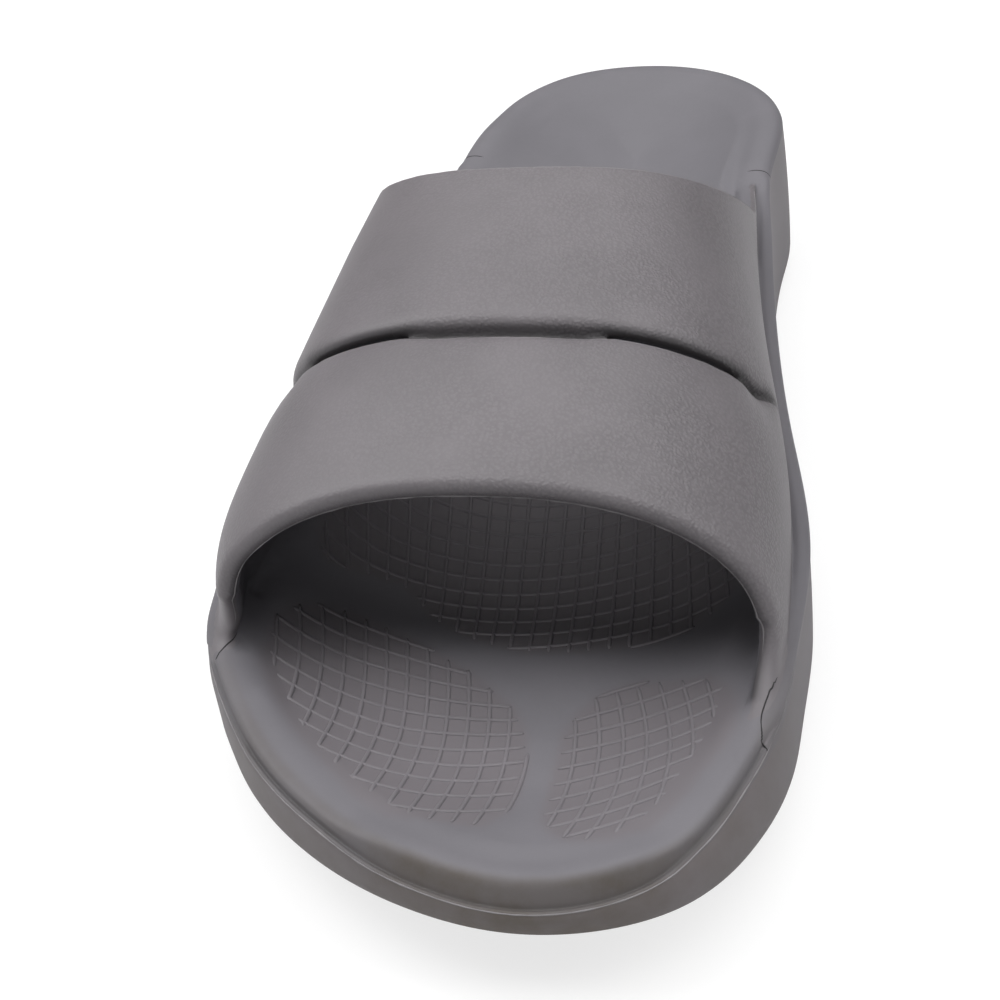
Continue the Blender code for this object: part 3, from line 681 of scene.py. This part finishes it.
def slot_cutter(strap, ends, number):
    """A curved bar through the groove's floor."""
    rings = []
    for across in np.linspace(ends[0], ends[1], 60):
        groove = strap.groove(across)
        tip = min(across - ends[0], ends[1] - across) / (ends[1] - ends[0])
        middle = (SLOT_SIDES[0] - SLOT_SIDES[1]) / 2
        half = (SLOT_SIDES[0] + SLOT_SIDES[1]) / 2 * (0.3 + 0.7 * ease(tip * 8))
        back = groove + (middle + half) * GROOVE_REACH
        fore = groove + (middle - half) * GROOVE_REACH
        y = np.array([back, fore, fore, back])
        depth = np.array([-1, -1, 1, 1]) * STRAP_WALL * 1.6
        rings.append(strap.below(y, np.full(4, across), depth))
    return loft(f"slot_cutter_{number}", np.array(rings), [], caps=True)


def tread_cutter():
    """Zigzag bars across the tread, each TREAD_DEPTH deep under the sole."""
    points, faces = [], []
    turns = int(np.ceil(0.55 * BALL_WIDTH / TREAD_PITCH))
    xs = np.arange(-turns, turns + 1) * TREAD_PITCH
    for share in TREAD_PLACES:
        line = place(share) + TREAD_SWING * (-1.0) ** np.arange(len(xs))
        first = len(points)
        for x, y in zip(xs, line):
            top = under_height(y) + TREAD_DEPTH
            for dy, z in ((-1, -TREAD_DEPTH), (1, -TREAD_DEPTH), (0.7, top), (-0.7, top)):
                points.append((x, y + dy * TREAD_WIDTH / 2, z))
        faces += tube(len(xs), 4, first)
    return mesh_object("tread_cutter", points, faces, [])


def combine(target, other, operation):
    """Joins or cuts, applies it and drops the other object."""
    step = target.modifiers.new("combine", "BOOLEAN")
    step.operation = operation
    step.solver = "MANIFOLD"
    step.object = other
    bpy.context.view_layer.update()
    done = bpy.data.meshes.new_from_object(
        target.evaluated_get(bpy.context.evaluated_depsgraph_get()))
    old = target.data
    target.modifiers.clear()
    target.data = done
    done.name = target.name
    bpy.data.meshes.remove(old)
    bpy.data.objects.remove(other)


def soften(target, reach, angle, rounds, within=None):
    """Rounds the sharp edges that joining and cutting leave, over that reach."""
    work = bmesh.new()
    work.from_mesh(target.data)
    bmesh.ops.triangulate(work, faces=work.faces[:])
    work.verts.ensure_lookup_table()
    sharp = {v.index for e in work.edges if len(e.link_faces) == 2
             and e.calc_face_angle(0.0) > angle for v in e.verts}
    places = np.array([v.co for v in work.verts])
    near = np.full(len(places), np.inf)
    cores = places[sorted(sharp)]
    if within is not None:
        cores = cores[within(cores)]
    steps = list(itertools.product((-1, 0, 1), repeat=3))
    cell = {}
    for row, spot in enumerate(np.floor(cores / reach).astype(int)):
        cell.setdefault(tuple(spot), []).append(row)
    keys = np.floor(places / reach).astype(int)
    for index, key in enumerate(map(tuple, keys)):
        rows = [row for step in steps for row in cell.get(tuple(map(sum, zip(key, step))), ())]
        if rows:
            near[index] = np.linalg.norm(cores[rows] - places[index], axis=1).min()
    chosen = [v for v in work.verts if near[v.index] < reach]
    weight = {v.index: 0.5 * float(ease(1.2 - near[v.index] / reach)) for v in chosen}
    for _ in range(rounds):
        moved = {}
        for v in chosen:
            middle, total = Vector(), 0.0
            for e in v.link_edges:
                share = e.calc_length()
                middle += e.other_vert(v).co * share
                total += share
            moved[v.index] = v.co.lerp(middle / total, weight[v.index]) if total else v.co.copy()
        for v in chosen:
            v.co = moved[v.index]
    work.to_mesh(target.data)
    work.free()


def front_seams(points):
    """Which points lie where the strap's feet meet the toe's rim."""
    x, y, z = points.T
    inner = (x > 0) & (y < -88 * MM)
    outer = (x < 0) & (y < -78 * MM)
    return (inner | outer) & (np.abs(x) > 40 * MM) & (z < 33 * MM) & (z > 17 * MM)


def note(target, name, share):
    layer = target.data.attributes.new(name, "FLOAT", "POINT")
    layer.data.foreach_set("value", np.asarray(share, np.float32))


def marks(target):
    """The mesh's points, and a share of 0 for each of them."""
    places = np.array([v.co for v in target.data.vertices])
    return places, np.zeros(len(places))


def boxed(points, line, margin):
    """Which points lie in a line's box, with a margin round it."""
    return (points > line.min(0) - margin).all(1) & (points < line.max(0) + margin).all(1)


def rim_rings():
    """The outline's points and the rings of the edge over them, fine enough for lines."""
    points = outline(LINE_POINTS)
    return points, edge_rings(points, inward(points))


def mark_crevice_shade(target, strap):
    """Notes painted shade for each point by how deep it sits in the groove, under a rolled edge or
    by the toe's parting line.
    """
    places, share = marks(target)
    points, rings = rim_rings()
    toe = along(points[:, 1]) < by_side(FRONT_SEAM, points[:, 0]) - SEAM_GAP
    foot = strap_line(strap, 0.06, 0.90, lambda a: strap.groove(a, -0.13),
                      lambda a: groove_depth(a) * 1.2, 900)
    roll = strap_line(strap, 0.02, 0.98, lambda a: strap.edges(a)[1], lambda a: EDGE_ROLL, 900)
    # line, its reach and where the painted shade begins behind it in millimetres, how dark it is
    lines = ((foot, 3.6, -1.15, 1.0), (roll, 3.0, -9.0, 1.0), (rings[VALLEY][toe], 1.1, -9.0, 0.55))
    high = np.flatnonzero(places[:, 2] > 17 * MM)
    for line, reach, ahead, strength in lines:
        rows = high[boxed(places[high], line, 4 * MM)]
        for part in np.array_split(rows, max(1, len(rows) // 400)):
            gap = np.linalg.norm(places[part][:, None] - line[None], axis=2)
            nearest = gap.argmin(1)
            behind = places[part, 1] - line[nearest, 1] > ahead * MM
            dark = ease(1 - gap.min(1) / (reach * MM)) * behind * strength
            share[part] = np.maximum(share[part], dark)
    note(target, "crevice_shade", share)


def mark_edge(target):
    """Notes on the mesh how near each low point lies to the sole's outline at the toe."""
    places, share = marks(target)
    rows = np.flatnonzero((places[:, 1] < -70 * MM) & (places[:, 2] < 32 * MM))
    gap = distance(places[rows, :2], outline(LINE_POINTS))
    share[rows] = 1 - ease((gap - 3.4 * MM) / (2.2 * MM))
    note(target, "outer", share)


def mark_pads(target):
    """Notes on the mesh how far each point lies inside a ribbed pad."""
    places, share = marks(target)
    low = places[:, 2] < 45 * MM
    for pad in PADS:
        edge = np.array(pad["edge"], float) * MM
        fine = np.concatenate([
            np.linspace(a, b, 12, endpoint=False) for a, b in zip(edge, np.roll(edge, -1, 0))])
        rows = np.flatnonzero(low & boxed(places[:, :2], edge, 10 * MM))
        gap = distance(places[rows, :2], fine)
        side = np.where(inside(places[rows, :2], edge), 1, -1)
        share[rows] = np.maximum(share[rows], ease(0.5 + side * gap / (3 * MM)))
    note(target, "pad", share)


def sweep(name, lines, section, materials):
    """Closed strips of one small section along lines of points with their up directions."""
    points, faces = [], []
    for line, up, scale in lines:
        tangent = np.gradient(line, axis=0)
        tangent /= np.linalg.norm(tangent, axis=1)[:, None] + 1e-12
        side = np.cross(tangent, up)
        side /= np.linalg.norm(side, axis=1)[:, None] + 1e-12
        over = np.cross(side, tangent)
        first = len(points)
        for k in range(len(line)):
            for a, b in section:
                points.append(line[k] + (side[k] * a + over[k] * b) * scale[k])
        faces += tube(len(line), len(section), first)
    return mesh_object(name, points, faces, materials)


def quadratic(rows, number, at):
    """Through three rows: the value of one column at a rib number."""
    places = column(rows, 0)
    value = 0.0
    for k, row in enumerate(rows):
        others = np.delete(places, k)
        value += row[number] * np.prod((at - others) / (places[k] - others))
    return value


def inside(points, edge):
    """Which points lie inside a closed outline."""
    edge = np.array(edge, float)
    found = np.zeros(len(points), bool)
    for a, b in zip(edge, np.roll(edge, -1, 0)):
        spans = (a[1] > points[:, 1]) != (b[1] > points[:, 1])
        reach = a[0] + (points[:, 1] - a[1]) / (b[1] - a[1] + 1e-12) * (b[0] - a[0])
        found ^= spans & (points[:, 0] < reach)
    return found


def bed_surface():
    """Height of the footbed and its up direction over the plan."""
    points = outline(FOOT_POINTS)
    bed = bed_outline(points, inward(points))

    def height(xy):
        return footbed_height(xy[:, 0], xy[:, 1], distance(xy, bed))

    def surface(xy):
        small = 2e-4
        z = height(xy)
        by_x = (height(xy + (small, 0)) - z) / small
        by_y = (height(xy + (0, small)) - z) / small
        up = np.stack([-by_x, -by_y, np.ones(len(xy))], 1)
        return joined(xy, z), up / np.linalg.norm(up, axis=1)[:, None]

    return surface


def pad_ribs(pad, surface, material):
    """The raised ribs of one pad, cut off where they leave its edge."""
    lines = []
    middle = pad["middle"]
    for kind in ("across", "along"):
        first, last = pad[kind + "_ribs"]
        for rib in range(first, last + 1):
            at, tilt, bow = (quadratic(pad[kind], k, rib) for k in (1, 2, 3))
            t = np.arange(-75, 75.01, 0.8)
            curve = at + tilt * t + bow * t * t
            if kind == "across":
                xy = np.stack([middle[0] + t, curve], 1)
            else:
                xy = np.stack([curve, middle[1] + t], 1)
            keep = inside(xy, pad["edge"])
            for run in np.split(np.arange(len(xy)), np.flatnonzero(np.diff(keep)) + 1):
                if len(run) > 3 and keep[run[0]]:
                    on, up = surface(xy[run] * MM)
                    fade = np.ones(len(run))
                    fade[0] = fade[-1] = 0.45
                    fade[1] = fade[-2] = 0.85
                    lines.append((on, up, fade))
    half, rise = RIB_WIDTH / 2, RIB_RISE
    section = ((-half * 1.15, -0.5 * rise), (half * 1.15, -0.5 * rise), (half * 0.85, 0.45 * rise),
               (half * 0.35, rise), (-half * 0.35, rise), (-half * 0.85, 0.45 * rise))
    return sweep(pad["name"], lines, section, [material])


def rough(count, seed, spread):
    """Uneven sizes along a line, soft from one point to the next."""
    noise = np.random.default_rng(seed).normal(0, 1, count + 12)
    soft = np.convolve(noise, np.hanning(9) / np.hanning(9).sum(), "same")[6:-6]
    return np.clip(1 + spread * soft, 0.35, 1.9)


def settle(tree, line, lift=0.0):
    """A line laid on the body's surface, with the surface's directions."""
    on, up = [], []
    for point in line:
        spot, normal = tree.find_nearest(Vector(point))[:2]
        on.append(spot + normal * lift)
        up.append(normal)
    return np.array(on), np.array(up)


def ends_fade(count, length=10):
    """Sizes that die away at both ends of a line."""
    at = np.arange(count)
    return ease((np.minimum(at, count - 1 - at) + 1.0) / length)


def strap_line(strap, first, last, place_of, depth_of, count=500):
    """A line along the strap: its place and depth are given for each share across."""
    across = np.linspace(first, last, count)
    y = np.array([place_of(a) for a in across])
    return strap.below(y, across, np.array([depth_of(a) for a in across]))


def flash_lines(strap, tree, material):
    """Thin flash along the mould's parting line, the strap's edges and the groove."""
    lines = []
    points, rings = rim_rings()
    ring = rings[0]
    share = along(points[:, 1])
    toe = share < by_side(FRONT_SEAM, points[:, 0]) + SEAM_GAP
    index = np.flatnonzero(toe)
    split = np.flatnonzero(np.diff(index) > 1)[0]
    flange = (points[:, 0] > 0) & ~toe & (share < 0.36)

    front = strap_line(strap, 0.035, 0.955, lambda a: strap.edges(a)[1], lambda a: EDGE_ROLL * 0.98)
    rear = strap_line(strap, 0.012, 0.988, lambda a: strap.edges(a)[0], lambda a: 0.1 * MM)
    lip = strap_line(strap, 0.10, 0.88, lambda a: strap.groove(a, 0.035),
                     lambda a: groove_depth(a) * 0.74)
    # line, seed of its roughness, size and unevenness
    pieces = (
        (ring[np.concatenate([index[split + 1:], index[:split + 1]])], 1, 1.0, 0.5),
        (ring[np.flatnonzero(flange)], 2, 0.8, 0.4),
        (front, 3, 0.9, 0.8),
        (rear, 4, 0.8, 0.6),
        (lip, 5, 0.55, 0.9),
    )
    for line, seed, size, spread in pieces:
        on, up = settle(tree, resampled(line))
        lines.append((on, up, rough(len(on), seed, spread) * size * ends_fade(len(on))))
    angles = np.linspace(0, 2 * np.pi, 6, endpoint=False)
    section = [(FLASH_RADIUS * np.cos(a), FLASH_RADIUS * np.sin(a)) for a in angles]
    return sweep("flash_line", lines, section, [material])


def seam_shade_lines(strap, tree, material):
    """Dark lines that cross the rim at the strap's four seams: painted shade in the creases there.
    """
    lines = []
    for crease in FRONT_CREASES:
        plan = np.array(crease) * MM
        line = joined(plan, edge_height(plan[:, 1]) + CREASE_RISE)
        lines.append(through(line[:, None], 8)[:, 0])
    points, rings = rim_rings()
    for side, seam in ((-1, REAR_SEAM[0]), (1, REAR_SEAM[1])):
        gap = np.abs(along(points[:, 1]) - seam) + (points[:, 0] * side < 0)
        index = int(gap.argmin())
        lines.append(np.array([ring[index] for ring in rings[:8]]))
    strips = []
    for line in lines:
        on, up = settle(tree, resampled(line, 0.4 * MM), 0.02 * MM)
        strips.append((on, up, ends_fade(len(on), 4) * rough(len(on), 9, 0.3)))
    half = 0.16 * MM
    section = ((-half, -half), (half, -half), (half * 0.7, 0.03 * MM), (-half * 0.7, 0.03 * MM))
    return sweep("seam_shade_line", strips, section, [material])


class Nodes:
    """Short calls for building a node material."""

    def __init__(self, name):
        self.material = bpy.data.materials.new(name)
        self.material.use_nodes = True
        self.tree = self.material.node_tree
        self.shader = self.tree.nodes["Principled BSDF"]

    def add(self, kind, inputs=None, **settings):
        node = self.tree.nodes.new(kind)
        for key, value in settings.items():
            setattr(node, key, value)
        for key, value in (inputs or {}).items():
            if isinstance(value, bpy.types.NodeSocket):
                self.tree.links.new(value, node.inputs[key])
            else:
                node.inputs[key].default_value = value
        return node

    def noise(self, vector, scale, detail, roughness=0.55, output="Fac"):
        values = {"Vector": vector, "Scale": scale, "Detail": detail, "Roughness": roughness}
        return self.add("ShaderNodeTexNoise", values).outputs[output]

    def math(self, operation, a, b=0.0, clamp=False):
        return self.add("ShaderNodeMath", {0: a, 1: b}, operation=operation,
                        use_clamp=clamp).outputs[0]

    def times(self, a, b, clamp=False):
        return self.math("MULTIPLY", a, b, clamp)

    def noted(self, name):
        """A share that is noted on the mesh's points."""
        return self.add("ShaderNodeAttribute", attribute_name=name).outputs["Fac"]

    def ramp(self, value, low, high, to_low=0.0, to_high=1.0):
        node = self.add("ShaderNodeMapRange", {"Value": value, "From Min": low, "From Max": high,
                                               "To Min": to_low, "To Max": to_high},
                        interpolation_type="SMOOTHSTEP")
        return node.outputs["Result"]

    def mix(self, share, a, b):
        inputs = {0: share, 6: a, 7: b}
        return self.add("ShaderNodeMix", inputs, data_type="RGBA", blend_type="MIX").outputs[2]

    def link(self, output, name):
        self.tree.links.new(output, self.shader.inputs[name])


# Colours of the foam
GREY = (0.168, 0.1545, 0.165, 1.0)
GREY_DARK = (0.138, 0.128, 0.136, 1.0)
BED = (0.158, 0.152, 0.167, 1.0)
BED_DARK = (0.136, 0.131, 0.144, 1.0)
RIB = (0.172, 0.160, 0.173, 1.0)
RIB_DARK = (0.142, 0.133, 0.143, 1.0)
FLASH = (0.255, 0.242, 0.250, 1.0)
FLASH_DARK = (0.15, 0.142, 0.148, 1.0)
# Painted shade for the dark lines in the creases at the strap's seams
SEAM_SHADE = (0.030, 0.028, 0.029, 1.0)
SEAM_SHADE_DARK = (0.018, 0.017, 0.018, 1.0)
PAD_TINT = (0.142, 0.1285, 0.138, 1.0)
DIRT = (0.080, 0.066, 0.052, 1.0)
# Painted shade for the groove, the rolled edges and the toe's valley
CREVICE_SHADE = (0.026, 0.025, 0.026, 1.0)


def foam(name, colour, dark, roughness, grain=0.0, dirt=0.0, pads=False):
    """Moulded foam: fine cells, soft blotches, painted shade in crevices, and where asked the
    strap's grain or dirt.
    """
    n = Nodes(name)
    where = n.add("ShaderNodeTexCoord").outputs["Object"]
    spot = n.add("ShaderNodeSeparateXYZ", {"Vector": where})
    x, y, z = (spot.outputs[axis] for axis in "XYZ")
    blotch = n.noise(where, 42.0, 3.0)
    speck = n.noise(where, 1100.0, 3.0, 0.6)
    tone = n.math("ADD", n.times(n.ramp(blotch, 0.3, 0.7), 0.6), n.times(speck, 0.4), clamp=True)
    surface = n.mix(tone, dark, colour)
    height = n.times(n.noise(where, 1500.0, 2.0), 0.10)
    if grain:
        warp = n.noise(where, 500.0, 2.0, output="Color")
        bent = n.add("ShaderNodeMixRGB", {"Fac": 0.0012, "Color1": where, "Color2": warp})
        cells = n.add("ShaderNodeTexVoronoi", {"Vector": bent.outputs[0], "Scale": 1500.0,
                                               "Randomness": 1.0}, feature="F1")
        pebble = n.ramp(cells.outputs["Distance"], 0.80, 0.10)
        patch = n.ramp(n.noise(where, 55.0, 2.0), 0.35, 0.65, 0.55, 1.0)
        strength = n.times(n.ramp(x, -0.035, 0.035, 0.40, 1.0), patch)
        strength = n.times(strength, n.ramp(z, 0.026, 0.036))
        raised = n.times(n.times(pebble, strength), grain)
        height = n.math("ADD", height, raised)
        valley = n.times(n.math("SUBTRACT", 1.0, pebble), strength)
        surface = n.mix(n.times(valley, 0.42), surface,
                        tuple(0.55 * v for v in dark[:3]) + (1.0,))
    if pads:
        ribbed = n.noted("pad")
        surface = n.mix(n.times(ribbed, 0.8), surface, PAD_TINT)
    if dirt:
        outer = n.noted("outer")
        patches = n.ramp(n.noise(where, 120.0, 5.0, 0.65), 0.30, 0.72, 0.60, 1.0)
        front = n.ramp(y, -0.070, -0.135, 0.0, 0.55)
        aside = n.math("ABSOLUTE", n.math("ADD", x, -0.014))
        middle = n.times(n.ramp(aside, 0.040, 0.014), n.ramp(y, -0.118, -0.136))
        share = n.times(n.math("MAXIMUM", front, middle), n.times(patches, outer))
        surface = n.mix(n.times(share, dirt, clamp=True), surface, DIRT)
    # Painted shade where the mesh notes a crevice: the groove's floor, under the rolled edges and in
    # the toe's valley
    crevice_shade = n.noted("crevice_shade")
    surface = n.mix(n.times(crevice_shade, 0.80), surface, CREVICE_SHADE)
    n.link(surface, "Base Color")
    shine = n.math("ADD", n.times(blotch, 0.14), roughness - 0.07)
    n.link(shine, "Roughness")
    bump = n.add("ShaderNodeBump", {"Height": height, "Strength": 0.6, "Distance": 0.00016})
    n.link(bump.outputs["Normal"], "Normal")
    n.shader.inputs["Specular IOR Level"].default_value = 0.40
    return n.material


# The body's material slots
WALL_SLOT, BED_SLOT, STRAP_SLOT, LINING_SLOT = range(4)


def body(materials):
    """The moulded foam body: sole and strap joined, slots and tread cut, edges softened."""
    strap = Strap()
    rings = sole_rings(OUTLINE_POINTS)
    below_rim = UNDER_RINGS + CORNER_RINGS + WALL_RINGS
    slots = np.where(np.arange(len(rings) - 1) < below_rim, WALL_SLOT, BED_SLOT)
    whole = loft("sandal_foam", rings, materials, slots[:, None])
    sections = np.array([strap_section(strap, across) for across in root_columns(STRAP_COLUMNS)])
    outside = 2 * len(ROLL) + len(GROOVE) + REAR_BAND_ROWS + FRONT_BAND_ROWS
    slots = np.where(np.arange(sections.shape[1]) < outside - 1, STRAP_SLOT, LINING_SLOT)
    combine(whole, loft("strap_form", sections, materials, slots, caps=True), "UNION")
    for number, ends in enumerate(SLOTS):
        combine(whole, slot_cutter(strap, ends, number), "DIFFERENCE")
    combine(whole, tread_cutter(), "DIFFERENCE")
    soften(whole, 1.0 * MM, 0.5, 6)
    soften(whole, 3.2 * MM, 0.3, 14, front_seams)
    mark_pads(whole)
    mark_crevice_shade(whole, strap)
    mark_edge(whole)
    whole.data.shade_smooth()
    return whole, strap


# The photo's camera: how far it looks down and is turned in degrees, its place in metres, its
# focal length, middle and the one shoe's middle in the photo's pixels, and the closer framing
PHOTO_PITCH = 37.3
PHOTO_TURN = -2.1
PHOTO_SPOT = (0.0683, -0.3284, 0.231)
PHOTO_FOCAL = 1350
PHOTO_MIDDLE = (500, 531)
SHOE_MIDDLE = (255, 491.5)
CLOSER = 1.3
SENSOR = 36


def photo_camera():
    """The photo's viewpoint in the sandal's frame, turned towards the one shoe without roll."""
    pitch, turn = np.radians(PHOTO_PITCH), np.radians(PHOTO_TURN)
    c, s = np.cos(turn), np.sin(turn)
    right = np.array([c, -s, 0.0])
    ahead = np.array([s * np.cos(pitch), c * np.cos(pitch), -np.sin(pitch)])
    up = np.cross(right, ahead)
    across, down = np.subtract(SHOE_MIDDLE, PHOTO_MIDDLE)
    aim = ahead + right * across / PHOTO_FOCAL - up * down / PHOTO_FOCAL
    aim /= np.linalg.norm(aim)
    basis = Matrix(np.stack([right, up, -ahead], 1).tolist())
    swing = Vector(ahead).rotation_difference(Vector(aim)).to_matrix()
    camera = bpy.data.cameras.new("camera")
    camera.sensor_width = SENSOR
    camera.lens = PHOTO_FOCAL * CLOSER / 1000 * SENSOR
    camera.clip_start = 0.01
    made = placed("camera", camera)
    made.matrix_world = Matrix.Translation(PHOTO_SPOT) @ (swing @ basis).to_4x4()
    bpy.context.scene.camera = made


# Soft lights: name, place and size in metres, power in watts; all face LIT_MIDDLE
LIGHTS = (
    ("top_soft", (0.0, 0.0, 1.1), (1.0, 1.0), 7.2),
    ("top_back_soft", (0.0, 0.7, 0.9), (1.0, 0.7), 2.6),
    ("top_left_soft", (-0.8, 0.0, 0.9), (0.7, 1.0), 9.6),
    ("top_right_soft", (0.8, 0.0, 0.9), (0.7, 1.0), 7.0),
    ("front_soft", (0.0, -1.2, 0.5), (1.2, 0.6), 3.8),
)
LIT_MIDDLE = (0.0, -0.02, 0.02)


def area_light(name, spot, size, power):
    light = bpy.data.lights.new(name, "AREA")
    light.shape = "RECTANGLE"
    light.size, light.size_y = size
    light.energy = power
    made = placed(name, light)
    made.location = spot
    made.visible_camera = False
    direction = Vector(LIT_MIDDLE) - Vector(spot)
    made.rotation_euler = direction.to_track_quat("-Z", "Y").to_euler()


# Floor: its width in metres, its colour for the light it throws back and as it is seen, and the
# glow that keeps it pale where it is seen; then the sky's share of the light
FLOOR_WIDTH = 12.0
FLOOR_BOUNCE = (0.75, 0.75, 0.755, 1.0)
FLOOR_SEEN = (0.30, 0.30, 0.30, 1.0)
FLOOR_GLOW = 0.73
SKY_LIGHT = 0.03
WHITE = (1.0, 1.0, 1.0, 1.0)


def studio():
    """Pale floor and soft light from above."""
    n = Nodes("floor_white")
    seen = n.add("ShaderNodeLightPath").outputs["Is Camera Ray"]
    n.link(n.mix(seen, FLOOR_BOUNCE, FLOOR_SEEN), "Base Color")
    n.shader.inputs["Emission Color"].default_value = WHITE
    n.link(n.times(seen, FLOOR_GLOW), "Emission Strength")
    n.shader.inputs["Roughness"].default_value = 0.9
    n.shader.inputs["Specular IOR Level"].default_value = 0.1
    half = FLOOR_WIDTH / 2
    mesh = bpy.data.meshes.new("floor")
    mesh.from_pydata([(-half, -half, 0), (half, -half, 0), (half, half, 0), (-half, half, 0)],
                     [], [(0, 1, 2, 3)])
    mesh.materials.append(n.material)
    floor = placed("floor", mesh)
    floor.location.z = -0.2 * MM
    world = bpy.data.worlds.new("studio")
    world.use_nodes = True
    tree = world.node_tree
    back = tree.nodes["Background"]
    back.inputs[0].default_value = WHITE
    path = tree.nodes.new("ShaderNodeLightPath")
    bright = tree.nodes.new("ShaderNodeMapRange")
    bright.inputs["To Min"].default_value = SKY_LIGHT
    tree.links.new(path.outputs["Is Camera Ray"], bright.inputs["Value"])
    tree.links.new(bright.outputs["Result"], back.inputs[1])
    bpy.context.scene.world = world
    for light in LIGHTS:
        area_light(*light)
    bpy.context.scene.view_settings.view_transform = "Standard"


photo_camera()
studio()

wall_foam = foam("foam_wall", GREY, GREY_DARK, 0.60, dirt=0.9)
bed_foam = foam("foam_footbed", BED, BED_DARK, 0.62, dirt=0.9, pads=True)
strap_foam = foam("foam_strap", GREY, GREY_DARK, 0.50, grain=1.0)
lining_foam = foam("foam_lining", BED, BED_DARK, 0.66)
rib_foam = foam("foam_rib", RIB, RIB_DARK, 0.60)
flash_foam = foam("foam_flash", FLASH, FLASH_DARK, 0.6)
# Near-black foam of painted shade for the lines in the seams' creases
seam_shade_foam = foam("foam_seam_shade", SEAM_SHADE, SEAM_SHADE_DARK, 0.8)

sandal, strap_shape = body([wall_foam, bed_foam, strap_foam, lining_foam])
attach(sandal, "root")
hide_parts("sandal")
surface_of_bed = bed_surface()
body_tree = BVHTree.FromPolygons([v.co for v in sandal.data.vertices],
                                 [tuple(p.vertices) for p in sandal.data.polygons])
pieces = [pad_ribs(pad, surface_of_bed, rib_foam) for pad in PADS]
pieces.append(flash_lines(strap_shape, body_tree, flash_foam))
pieces.append(seam_shade_lines(strap_shape, body_tree, seam_shade_foam))
for piece in pieces:
    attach(piece, "root")
